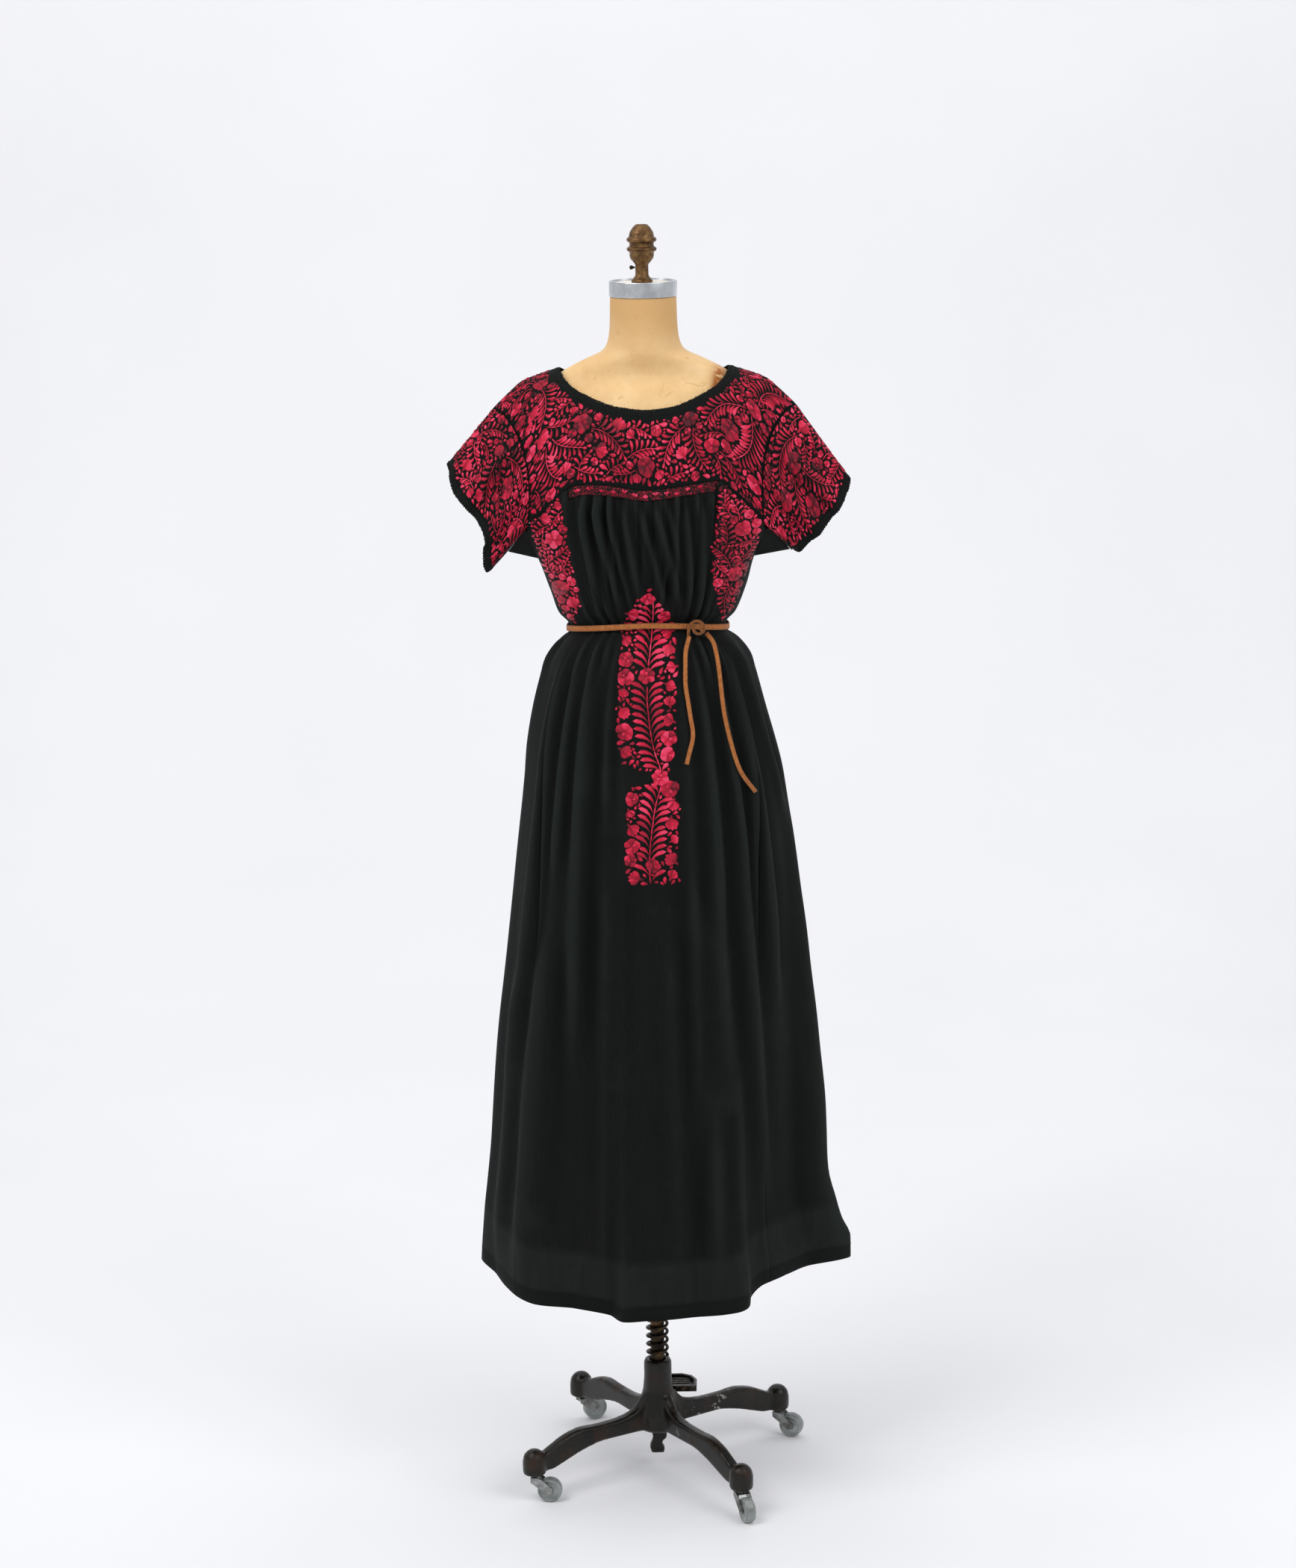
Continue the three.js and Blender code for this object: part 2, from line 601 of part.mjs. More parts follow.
// ---- the belt ---------------------------------------------------------------
const BELT_COLUMNS = 40;
function beltRow(dz) {
  return Array.from({ length: BELT_COLUMNS }, (_, i) => {
    const phi = mix(-180, 180, i / BELT_COLUMNS);
    const [s, c] = [Math.sin(rad(phi)), Math.cos(rad(phi))];
    const clear = CLOTH / 2 + BELT_THICK / 2 + 2.4;
    const across = curve(SIZES, WAIST_Z, s < 0 ? 1 : 2) + clear;
    const deep = curve(SIZES, WAIST_Z, c > 0 ? 3 : 4) + clear;
    const r = ((Math.abs(s) / across) ** ROUND + (Math.abs(c) / deep) ** ROUND) ** (-1 / ROUND);
    return vec(r * s, -r * c, WAIST_Z + dz);
  });
}
add('belt', wall([beltRow(BELT_WIDE / 2), beltRow(-BELT_WIDE / 2)], BELT_THICK, true), suede());

const KNOT = [58, -83, 1244];
const knot = new THREE.TorusGeometry(6.2, 3.4, 6, 14).scale(1.1, 1, 0.95);
knot.rotateX(Math.PI / 2).rotateZ(rad(20)).translate(...KNOT);
add('belt_knot', knot, suede());

// The two hanging ends: a flat lace along a path, its width across the view.
function lace(path, wide, thick) {
  const points = path.map((p) => vec(...p));
  const line = new THREE.CatmullRomCurve3(points, false, 'centripetal');
  const steps = 16;
  const row = (k, side) => {
    const p = line.getPointAt(k / steps);
    const along = line.getTangentAt(k / steps);
    const across = vec(0, -1, 0).cross(along).normalize();
    return p.addScaledVector(across, (side * wide) / 2);
  };
  const rows = [];
  for (let k = 0; k <= steps; k += 1) rows.push([row(k, 1), row(k, -1)]);
  return wall(rows, thick);
}
// The cloth's furthest point in front near a place (x, z) of the skirt.
function clothFront(x, z) {
  let y = 0;
  for (const dz of [-12, -6, 0, 6])
    for (let phi = -60; phi <= 75; phi += 0.5) {
      const p = bodyPoint(phi, z + dz);
      if (Math.abs(p.x - x) < 7) y = Math.min(y, p.y);
    }
  return y;
}
const resting = (settled) => ([x, z]) => [
  x, clothFront(x, z) - CLOTH / 2 - BELT_THICK / 2 + settled, z,
];
const SHORT_END = [
  [53, 1231], [49, 1214], [49, 1196], [50, 1176], [53, 1155], [56, 1134], [59, 1109],
  [53, 1083], [50, 1071],
].map(resting(1));
const LONG_END = [
  [74, 1232], [84, 1222], [92, 1209], [96, 1190], [98, 1170], [100, 1150], [103, 1129],
  [111, 1093], [123, 1056], [144, 1022],
].map(resting(1.5));
add('belt_end_short', lace(SHORT_END, 8, BELT_THICK), suede());
add('belt_end_long', lace(LONG_END, 8, BELT_THICK), suede());

// ---- the form ---------------------------------------------------------------
const FORM = [
  // z, half-width, front, back
  [955, 120, 82, 78],
  [970, 138, 92, 88],
  [1040, 146, 99, 95],
  [1110, 140, 96, 92],
  [1170, 122, 86, 80],
  [1241, 99, 76, 69],
  [1300, 112, 88, 78],
  [1360, 127, 104, 86],
  [1420, 140, 106, 87],
  [1470, 147, 100, 82],
  [1510, 153, 89, 75],
  [1540, 154, 75, 65],
  [1562, 145, 60.5, 53],
  [1578, 126, 48.5, 45],
  [1588, 112.5, 45, 44],
  [1597, 96.5, 45.5, 45],
  [1605.5, 79, 47.5, 47],
  [1614, 60, 49, 49],
  [1623, 51.5, 48.5, 48.5],
  [1642, 47, 47, 47],
  [1688.1, 45, 45, 45],
];
const FORM_COLUMNS = 28;
const torso = FORM.map(([z, across, deepFront, deepBack]) =>
  Array.from({ length: FORM_COLUMNS }, (_, i) => {
    const a = (i / FORM_COLUMNS) * 2 * Math.PI;
    const [s, c] = [Math.sin(a), Math.cos(a)];
    return vec(across * s, -c * (c > 0 ? deepFront : deepBack), z);
  }),
);
add('form_torso', skin(torso), paint('#e0b987', 0.85, 0));

// The metal ring round the top of the neck, with its plate and the finial.
const RING = [[43.2, 1688.6], [46, 1688.6], [46, 1709.4], [43.2, 1709.4], [43.2, 1688.6]];
const PLATE = [[0, 1688.5], [42.8, 1688.5], [42.8, 1706.6], [0, 1706.6]];
add('neck_ring', lathe(RING, 28), paint('#b9bcbe', 0.3, 1));
add('neck_plate', lathe(PLATE, 28), paint('#e9dcc0', 0.7, 0));
const FINIAL = [
  [0, 1707], [14.5, 1707], [14.5, 1710], [11.5, 1713], [9, 1716.4], [8.8, 1731],
  [11.5, 1734], [15.6, 1739], [16.6, 1743], [16.2, 1747], [20.2, 1750], [20.2, 1753],
  [16.4, 1755.5], [16.4, 1760], [20.2, 1762.5], [20.2, 1766], [17, 1768], [16, 1774],
  [11.5, 1781], [7.5, 1784.5], [0, 1784.8],
];
const FINIAL_LEAN = -1.2;
add('finial', lathe(FINIAL, 12).translate(FINIAL_LEAN, 0, 0), paint('#5b4733', 0.5, 0.8));
const screw = new THREE.CylinderGeometry(2.8, 2.8, 7.4, 8).rotateZ(Math.PI / 2);
add('finial_screw', screw.translate(-14.2, 0, 1727), paint('#1c1a18', 0.5, 0.8));

// ---- the column -------------------------------------------------------------
const pole = joined(
  lathe([[0, 105], [POLE_R, 105], [POLE_R, 954.6], [0, 954.6]], 16),
  lathe([[0, 320.6], [20, 320.6], [20, 338], [0, 338]], 16),
  lathe([[0, 940], [45, 940], [45, 954.6], [0, 954.6]], 16),
);
add('pole', pole, paint('#3a332c', 0.45, 0.9));

const TURNS = 12;
class Coil extends THREE.Curve {
  getPoint(t, target = new THREE.Vector3()) {
    const a = t * TURNS * 2 * Math.PI;
    const z = mix(SPRING_BOTTOM + WIRE_R, SPRING_TOP - WIRE_R, t);
    return target.set(COIL_R * Math.cos(a), COIL_R * Math.sin(a), z);
  }
}
const WIRE_SIDES = 5;
const wireSection = new THREE.Shape(
  Array.from({ length: WIRE_SIDES }, (_, i) => {
    const a = (i / WIRE_SIDES) * 2 * Math.PI;
    return new THREE.Vector2(WIRE_R * Math.cos(a), WIRE_R * Math.sin(a));
  }),
);
add(
  'column_spring',
  new THREE.ExtrudeGeometry(wireSection, {
    extrudePath: new Coil(), steps: TURNS * 8, bevelEnabled: false,
  }),
  paint('#4a3f33', 0.45, 0.9),
);

// ---- the base ---------------------------------------------------------------
const HUB = [
  [10.6, 60], [24, 60], [30, 66], [31, 84], [26, 104], [21.5, 122], [20, 140], [20, 164],
  [17.5, 168], [10.6, 168], [10.6, 60],
];
const LEG = [
  [14, 62], [66, 65], [104, 66], [138, 58], [160, 49], [178, 41.6], [202, 41.6], [202, 66],
  [184, 75], [160, 86], [134, 92], [100, 90], [66, 90], [40, 98], [25, 116], [14, 124],
];
const LEG_THICK = 17.5;
const CAP = [[0, 41], [17, 41], [17, 60], [14.5, 69.5], [9, 75.5], [0, 77.8]];
const legs = [0, 1, 2, 3].map((k) => {
  const turn = -LEG_TURN + (k * Math.PI) / 2;
  const cap = lathe(CAP, 16).translate(LEG_REACH, 0, 0);
  const socket = lathe([[0, 30], [4.8, 30], [4.8, 43], [0, 43]], 8).translate(LEG_REACH, 0, 0);
  return { turn, leg: plate(LEG, LEG_THICK), cap, socket };
});
const bore = solid(lathe([[0, 50], [10.6, 50], [10.6, 180], [0, 180]], 16));
let base = solid(lathe(HUB, 16));
for (const { turn, leg, cap, socket } of legs) {
  const arm = solid(leg).subtract(solid(socket)).add(solid(cap).subtract(solid(socket)));
  base = base.add(solid(geometryOf(arm).rotateZ(turn)).subtract(bore));
}
const LATCH = [[-14, 62], [13, 62], [13, 42], [9, 22], [-11, 22], [-14, 34]];
base = base.add(solid(plate(LATCH, 15).translate(0, 4, 0)));
add('base', geometryOf(base), castIron());

// The foot pedal behind the hub: a ribbed tread with a raised rim on an arm.
const TREAD = [[-6, 41], [56, 41], [57, 66], [50, 82], [36, 90], [14, 90], [0, 82], [-6, 66]];
function tray(outline, low, high) {
  const shape = new THREE.Shape(outline.map(([x, y]) => new THREE.Vector2(x, y)));
  return new THREE.ExtrudeGeometry(shape, { depth: high - low, bevelEnabled: false })
    .translate(0, 0, low);
}
const shrunk = TREAD.map(([x, y]) => [25 + (x - 25) * 0.87, 65 + (y - 65) * 0.85]);
let pedal = solid(tray(TREAD, 98, 107)).subtract(solid(tray(shrunk, 102, 110)));
for (const y of [53, 61, 69, 77]) pedal = pedal.add(solid(box(44, 3, 3, 25, y, 103)));
pedal = pedal.add(solid(box(9, 24, 8, 10, 47, 95)));
pedal = pedal.add(solid(box(9, 8.7, 17, 10, 34.65, 90.5)));
add('foot_pedal', geometryOf(pedal), castIron());

// ---- casters ----------------------------------------------------------------
// Heading of each trailing wheel, turned from +X.
const CASTERS = [
  ['front_right', 0, -70],
  ['back_right', 1, -20],
  ['back_left', 2, 24],
  ['front_left', 3, -5],
];
const CHEEK = [[-5, 37.2], [3.4, 37.2], [10, 35], [26, 21.5], [26.5, 14], [19, 12.5], [-5, 30.6]];
for (const [name, leg, heading] of CASTERS) {
  const cheeks = [-1, 1].map((s) => plate(CHEEK, 2).translate(0, s * (WHEEL_WIDE / 2 + 1.6), 0));
  const bridge = box(8.2, WHEEL_WIDE + 5.2, 5, -0.9, 0, 34.7);
  const stem = lathe([[0, 33], [4.2, 33], [4.2, 42.4], [0, 42.4]], 8);
  const axle = new THREE.CylinderGeometry(2.4, 2.4, WHEEL_WIDE + 7, 8).translate(TRAIL, 0, WHEEL_R);
  const half = WHEEL_WIDE / 2;
  const reach = WHEEL_R / Math.cos(Math.PI / WHEEL_SIDES); // flats touch the floor
  const profile = [[3, -half], [reach, -half], [reach, half], [3, half], [3, -half]];
  const wheel = lathe(profile, WHEEL_SIDES).rotateX(Math.PI / 2).rotateY(Math.PI / WHEEL_SIDES);
  const turn = -LEG_TURN + (leg * Math.PI) / 2;
  const holder = new THREE.Group();
  holder.position.set(LEG_REACH * Math.cos(turn), LEG_REACH * Math.sin(turn), 0);
  holder.rotation.z = rad(heading);
  const fork = new THREE.Mesh(joined(...cheeks, bridge, stem, axle), paint('#8d8f8e', 0.35, 1));
  fork.name = `caster_fork_${name}`;
  const rolling = new THREE.Mesh(wheel, paint('#a9b0ae', 0.35, 0.1));
  rolling.name = `caster_wheel_${name}`;
  rolling.position.set(TRAIL, 0, WHEEL_R);
  holder.add(fork, rolling);
  group.add(holder);
}

export default group;
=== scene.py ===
"""Visual model of an embroidered cotton dress with a tie belt, on a wheeled dress form."""

import math

import bpy
import numpy as np
from mathutils import Euler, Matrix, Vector


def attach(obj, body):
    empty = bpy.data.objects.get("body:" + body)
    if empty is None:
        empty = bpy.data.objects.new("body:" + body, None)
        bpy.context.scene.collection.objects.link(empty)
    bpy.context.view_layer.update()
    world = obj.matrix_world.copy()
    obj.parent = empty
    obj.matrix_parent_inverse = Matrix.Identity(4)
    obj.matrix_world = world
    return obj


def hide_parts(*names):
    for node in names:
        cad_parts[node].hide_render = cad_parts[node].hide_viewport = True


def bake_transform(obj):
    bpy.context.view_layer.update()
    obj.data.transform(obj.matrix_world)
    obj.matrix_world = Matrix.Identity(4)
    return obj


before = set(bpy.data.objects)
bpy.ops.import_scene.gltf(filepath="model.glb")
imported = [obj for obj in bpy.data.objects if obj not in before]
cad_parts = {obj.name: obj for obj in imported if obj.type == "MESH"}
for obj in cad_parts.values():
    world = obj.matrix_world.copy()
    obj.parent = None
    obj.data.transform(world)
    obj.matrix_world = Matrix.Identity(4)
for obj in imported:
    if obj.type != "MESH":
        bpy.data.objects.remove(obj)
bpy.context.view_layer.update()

bl_info = {
    "name": "Embroidered dress on a form",
    "version": (1, 0, 0),
    "blender": (4, 5, 0),
    "location": "View3D > Sidebar > Dress",
    "description": "Builds an embroidered cotton dress, its belt and its wheeled form",
    "category": "Object",
}

# ---- sizes, in millimetres ---------------------------------------------------
MM = 0.001
CLOTH = 1.6
EDGE_CLOTH = 1.2
SEAM_GAP = 0.3
WAIST_Z = 1241.0
WAIST_RISE = 15.5
WAIST_DROP = 4.5
HEM_Z = 305.0
ROUND = 2.2
YOKE_HALF = 158.0
RIDGE_HALF = 205.0
NECK_HALF = 125.0
BAND_HIGH = 14.0
BELT_WIDE = 8.2
BELT_THICK = 2.2
LACE_WIDE = 6.2
SEAM_FRONT = 58.0
SEAM_BACK = 122.0
BAND_FROM = -46.0
BAND_TO = 42.0
UNDERARM_FROM = 69.0
UNDERARM_Z = 1331.0
LEG_REACH = 210.6
LEG_TURN = math.radians(57)
WHEEL_R = 17.5
TRAIL = 21.5
COIL_R = 14.3
WIRE_R = 2.3
SPRING_BOTTOM = 168.6
SPRING_TOP = 320.0

# Height, half-width on the left and the right, depth in front and behind.
SIZES = [
    (290, 251, 281, 190, 108), (317, 250, 281, 188, 108), (348, 248, 281, 186, 108),
    (371, 246, 270, 184, 108), (403, 243, 260, 182, 108), (442, 238, 249, 180, 108),
    (504, 231, 245, 176, 108), (651, 219, 234, 168, 108), (796, 201, 219, 160, 107),
    (922, 186, 204, 152, 106), (1027, 173, 187, 144, 106), (1078, 168, 174, 138, 105),
    (1130, 158, 159, 131, 102), (1175, 145, 146, 121, 97), (1198, 137, 139, 113, 92),
    (1222, 120, 122, 98, 85), (1234, 106.5, 107.5, 84, 77), (1248, 106.5, 107.5, 84, 77),
    (1262, 119, 121, 93, 83), (1295, 133, 136, 104, 90), (1330, 146, 146, 111, 94),
    (1360, 160, 160, 114, 95), (1388, 178, 178, 116, 96), (1450, 190, 190, 116, 95),
]
# Angle from the front in degrees, positive to the right: share of the plain section.
HEM_FOLDS = [
    (-180, 0.985), (-165, 1.03), (-150, 0.95), (-135, 1.03), (-120, 0.95), (-105, 0.99),
    (-90, 1), (-78, 0.93), (-66, 0.965), (-50, 1.0), (-36, 0.92), (-21, 0.955),
    (-13.5, 1.05), (-4, 1.0), (8, 0.985), (20, 0.965), (33, 0.975), (39, 0.93), (46, 0.8),
    (55, 0.735), (68, 0.73), (80, 0.79), (90, 1), (102, 1.0), (115, 0.94), (130, 1.02),
    (145, 0.95), (160, 1.03), (180, 0.985),
]
HEM_LEVELS = [
    (-180, 302), (-140, 306), (-110, 316), (-90, 322), (-78, 317), (-66, 313), (-50, 307),
    (-36, 304), (-21, 299), (-13.5, 296), (2, 297), (20, 297), (33, 299), (39, 301),
    (46, 307), (55, 315), (68, 318), (80, 318), (90, 317), (110, 312), (140, 306),
    (180, 302),
]
YOKE_LEVELS = [
    (-69, 1391), (-62, 1404), (-55, 1420), (-49, 1436), (-42, 1446), (-30, 1448),
    (-15, 1444), (0, 1440), (20, 1444), (36, 1449), (44, 1450), (50, 1436), (58, 1416),
    (69, 1389),
]
SHOULDER = [
    (0, 1602), (90, 1598), (125, 1590.5), (142, 1585), (166, 1575.5), (180, 1564),
    (198, 1547), (205, 1540),
]
ARMHOLE = [
    (0, 205), (0.12, 196), (0.285, 182), (0.509, 166), (0.656, 159), (0.839, 157), (1, 158),
]
# Distance from the middle, and the neck opening's share of the way down the yoke.
NECKLINES = {
    "front": [(0, 0.6), (44, 0.575), (73, 0.515), (95, 0.43), (106, 0.36), (115, 0.27),
              (121, 0.16), (125, 0)],
    "back": [(0, 0.44), (44, 0.43), (73, 0.4), (95, 0.35), (106, 0.29), (115, 0.21),
             (121, 0.11), (125, 0)],
}
# Height, and depth of the gathers in front, and at the sides and back.
GATHERS = [
    (300, 0, 0), (900, 0.1, 0.3), (1080, 0.3, 0.8), (1170, 0.9, 2.0), (1215, 2.1, 3.2),
    (1234, 0.9, 1), (1248, 0.9, 1), (1268, 2.2, 1.8), (1330, 1.2, 1), (1400, 2, 0.4),
    (1424, 2.6, 0.2), (1436, 0.5, 0), (1450, 0.2, 0),
]
# The same heights for the fine pleats between the gathers.
PLEATS = [
    (600, 0, 0), (1000, 0, 0.1), (1120, 0.2, 0.4), (1190, 0.9, 1.4), (1218, 1.7, 2.0),
    (1234, 0.6, 0.6), (1248, 0.6, 0.6), (1264, 1.9, 1.6), (1300, 1.1, 0.8),
    (1360, 0.4, 0.3), (1400, 1.2, 0.2), (1428, 1.8, 0.1), (1440, 0.5, 0),
]
CUFF_RIGHT = [
    (273, 0, 1444), (271, -18, 1439), (260, -38, 1412), (243, -46, 1392), (224, -43, 1368),
    (205, -27, 1349), (199, 0, 1346), (208, 26, 1361), (226, 40, 1384), (244, 40, 1404),
    (260, 30, 1425), (269, 14, 1439),
]
CUFF_LEFT = [
    (-264, 0, 1470), (-260, -18, 1455), (-254, -34, 1435), (-242, -44, 1419),
    (-224, -52, 1400), (-211, -58, 1374), (-213, -61, 1348), (-211, -46, 1330),
    (-197, -12, 1344), (-202, 10, 1356), (-212, 28, 1372), (-226, 38, 1390),
    (-240, 40, 1408), (-251, 34, 1428), (-258, 22, 1446), (-263, 10, 1462),
]
# Side, sign of x, the gusset's outer corner and the loop of the cuff.
SLEEVES = {
    "right": (1, (199, 0, 1340), CUFF_RIGHT),
    "left": (-1, (-192, 0, 1342), CUFF_LEFT),
}
SLEEVE_FOLDS = [
    (0, 0), (0.06, 3), (0.12, -5), (0.18, 6), (0.24, -6), (0.3, 7), (0.36, -6), (0.42, 4),
    (0.5, 0), (0.58, 4), (0.66, -5), (0.74, 5), (0.82, -5), (0.9, 4), (1, 0),
]
# Height, half-width, depth in front and behind, of the form.
FORM = [
    (955, 120, 82, 78), (970, 138, 92, 88), (1040, 146, 99, 95), (1110, 140, 96, 92),
    (1170, 122, 86, 80), (1241, 99, 76, 69), (1300, 112, 88, 78), (1360, 127, 104, 86),
    (1420, 140, 106, 87), (1470, 147, 100, 82), (1510, 153, 89, 75), (1540, 154, 75, 65),
    (1562, 145, 60.5, 53), (1578, 126, 48.5, 45), (1588, 112.5, 45, 44),
    (1597, 96.5, 45.5, 45), (1605.5, 79, 47.5, 47), (1614, 60, 49, 49),
    (1623, 51.5, 48.5, 48.5), (1642, 47, 47, 47), (1688.1, 45, 45, 45),
]
# Places in front (x, z) that the two hanging ends of the belt pass over.
SHORT_END = [
    (56, 1238), (51, 1220), (50, 1198), (50, 1176), (53, 1155), (56, 1134), (59, 1109),
    (53, 1083), (50, 1071),
]
LONG_END = [
    (79, 1240), (88, 1229), (93, 1211), (96, 1190), (98, 1170), (100, 1150), (103, 1129),
    (111, 1093), (123, 1056), (144, 1022),
]
# Corner of the base that each caster hangs from, and the heading of its wheel.
CASTERS = {
    "front_right": (0, -70), "back_right": (1, -20), "back_left": (2, 24),
    "front_left": (3, -5),
}


# ---- curves and surfaces -----------------------------------------------------
def curve(table, x, column=1):
    """Smooth curve through the rows of a table, which never overshoots them."""
    rows = np.asarray(table, float)
    xs, ys = rows[:, 0], rows[:, column]
    x = np.clip(np.asarray(x, float), xs[0], xs[-1])
    i = np.clip(np.searchsorted(xs, x) - 1, 0, len(xs) - 2)
    chord = np.diff(ys) / np.diff(xs)
    slope = np.concatenate([chord[:1], (ys[2:] - ys[:-2]) / (xs[2:] - xs[:-2]), chord[-1:]])

    def limit(s, c):
        return np.where(s * c <= 0, 0, np.sign(s) * np.minimum(np.abs(s), 3 * np.abs(c)))

    before, after = limit(slope[i], chord[i]), limit(slope[i + 1], chord[i])
    span = xs[i + 1] - xs[i]
    t = (x - xs[i]) / span
    return (
        ys[i] * (1 + 2 * t) * (1 - t) ** 2 + ys[i + 1] * t * t * (3 - 2 * t)
        + span * (before * t * (1 - t) ** 2 - after * t * t * (1 - t))
    )


def smooth(x, low, high):
    """Eased step from 0 at low to 1 at high."""
    t = np.clip((np.asarray(x, float) - low) / (high - low), 0, 1)
    return t * t * (3 - 2 * t)


def mix(a, b, t):
    """Value at the share t of the way from a to b."""
    return a + (b - a) * t


def wrap(phi):
    """The same angle, between -180 and 180 degrees."""
    return np.mod(np.asarray(phi, float) + 180, 360) - 180


def run_along(line):
    """Distance of each point of a line from its start."""
    return np.concatenate([[0], np.cumsum(np.linalg.norm(np.diff(line, axis=0), axis=1))])


def unit(rows):
    """The same directions, each one long."""
    return rows / np.linalg.norm(rows, axis=-1, keepdims=True)


def ripple(x, seed, octaves=4):
    """Irregular smooth wave between about -1 and 1, the same for the same seed."""
    rng = np.random.default_rng(seed)
    total = np.zeros_like(np.asarray(x, float))
    for k in range(octaves):
        rate, phase = rng.uniform(0.7, 1.4) * 1.7 ** k, rng.uniform(0, 2 * math.pi)
        total = total + np.sin(x * rate + phase) / 1.5 ** k
    return total / 1.9


def gather_place(turn):
    """Place along the row of gathers by angle, four to a gather."""
    beyond = np.abs(turn) - SEAM_FRONT
    side = 24 + beyond / ((SEAM_BACK - SEAM_FRONT) / 8)
    return np.where(beyond <= 0, turn / SEAM_FRONT * 24, np.sign(turn) * side)


def waist_lift(turn):
    """How much higher than its mean the belt sits at an angle from the front."""
    return WAIST_RISE * np.clip(np.cos(np.radians(turn)), 0, 1) ** 1.2 - WAIST_DROP


def section(turn, z, clear=0.0):
    """Radius of the plain rounded cross-section at a height."""
    z = z - waist_lift(turn) * np.exp(-(((z - WAIST_Z) / 42) ** 2))
    s, c = np.sin(np.radians(turn)), np.cos(np.radians(turn))
    across = np.where(s < 0, curve(SIZES, z, 1), curve(SIZES, z, 2)) + clear
    deep = np.where(c > 0, curve(SIZES, z, 3), curve(SIZES, z, 4)) + clear
    return ((np.abs(s) / across) ** ROUND + (np.abs(c) / deep) ** ROUND) ** (-1 / ROUND)


def round_about(turn, r, z):
    """Points by degrees from the front, radius and height."""
    return np.stack([r * np.sin(np.radians(turn)), -r * np.cos(np.radians(turn)), z], -1)


def body_point(phi, z, pleats=True):
    """Middle of the dress's cloth at an angle from the front and a height."""
    turn, z = np.broadcast_arrays(wrap(phi), np.asarray(z, float))
    plain = section(turn, z)
    hang = np.clip((WAIST_Z - 11 - z) / (WAIST_Z - 11 - HEM_Z), 0, 1) ** 0.9
    fold = 1 + hang * (curve(HEM_FOLDS, turn) - 1)
    front = smooth(-np.abs(turn), -SEAM_FRONT - 6, -SEAM_FRONT + 4)
    strips = 1 - 0.8 * smooth(np.abs(turn), 40, 50) * smooth(z, 1255, 1290)
    depth = mix(curve(GATHERS, z, 2), curve(GATHERS, z, 1), front) * strips
    place = gather_place(turn)
    gather = depth * np.cos(place * math.pi / 2)
    if pleats:
        level = z / 130
        drift = 1.1 * ripple(level * 0.7 + place * 0.13, 11) + 1.1 * ripple(place * 0.5, 12)
        gather = depth * np.cos((place + drift) * math.pi / 2)
        fine = mix(curve(PLEATS, z, 2), curve(PLEATS, z, 1), front) * mix(1, strips, 0.7)
        still = 1 - 0.75 * smooth(-np.abs(turn - 2), -34, -24) * smooth(z, 880, 930)
        wave = 0.35 * np.sin(place * 3.1 + 1.4 * ripple(level * 0.8 + place * 0.3, 13))
        wave = wave + 0.9 * ripple(place * 1.5 + 0.6 * ripple(level, 14), 15, 3)
        gather = (gather + fine * wave) * mix(1, still, smooth(z, 1300, 1290))
        swell = curve(SWELLS, z, 1) * ripple(np.radians(turn) * 5.5 + 0.35 * ripple(level, 16), 17, 3)
        drape = curve(SWELLS, z, 2) * folds_in_front(turn, z)
        gather = gather + (swell + drape) * mix(1, still, 0.6)
    r = plain * fold + gather
    return round_about(turn, r, z)


# Height, depth of the broad swells, and share of the long folds of the front.
SWELLS = [
    (296, 4.2, 1.4), (600, 4.0, 1.5), (900, 3.0, 1.4), (1100, 2.0, 1.2), (1200, 0.8, 0.7),
    (1230, 0, 0), (1250, 0, 0), (1275, 0.5, 0.8), (1330, 1.4, 1.2), (1400, 0.9, 1.1),
    (1432, 0, 0.2), (1450, 0, 0),
]
# Long soft folds: height and angle of the ends, width in degrees and depth in mm.
LONG_FOLDS = [
    # top z, angle, bottom z, angle, width, depth
    (1432, -40, 1256, -33, 2.4, 4.5), (1432, -33, 1256, -19, 2.4, 7.0),
    (1430, -26, 1256, -11, 2.2, 5.0), (1432, -17, 1256, -2, 2.8, 6.5),
    (1426, -6, 1262, 15, 2.6, 6.5), (1428, 4, 1258, 27, 2.8, 7.5), (1430, 13, 1300, 25, 2.2, 5.0),
    (1432, 25, 1262, 31, 2.2, 6.0), (1430, 35, 1262, 38, 2.4, 4.0), (1340, 14, 1256, 8, 2.0, 4.5),
    (1228, -57, 640, -68, 4.6, 7.5), (1228, -46, 900, -50, 3.2, 6.0),
    (1228, -36, 620, -39, 4.4, 7.5), (1228, -25, 980, -24, 2.8, 4.5),
    (1228, 21, 480, 20, 4.0, 6.5), (1228, 31, 560, 34, 4.6, 8.0),
    (1228, 42, 900, 50, 3.2, 6.5), (1228, 54, 700, 68, 4.6, 8.5), (1228, 67, 960, 84, 3.8, 6.0),
    (940, -21, 310, -23, 6.0, 7.0), (860, 8, 310, 11, 6.4, 6.0), (900, 27, 310, 26, 4.6, 6.5),
    (820, -52, 320, -57, 6.0, 7.5), (980, 46, 420, 58, 5.0, 7.0), (760, -70, 320, -77, 5.4, 6.0),
]


def folds_in_front(turn, z):
    """Outward ridges of the long folds, and the dip beside each."""
    total = np.zeros(np.shape(turn))
    for top, start, bottom, end, width, depth in LONG_FOLDS:
        share = np.clip((top - z) / (top - bottom), -0.2, 1.2)
        middle = start + (end - start) * share
        strength = smooth(share, -0.06, 0.14) * (1 - smooth(share, 0.72, 1.06))
        off = (turn - middle) / width
        total = total + depth * strength * (np.exp(-off * off) - 0.5 * np.exp(-((off - 1.7) ** 2)))
    return total


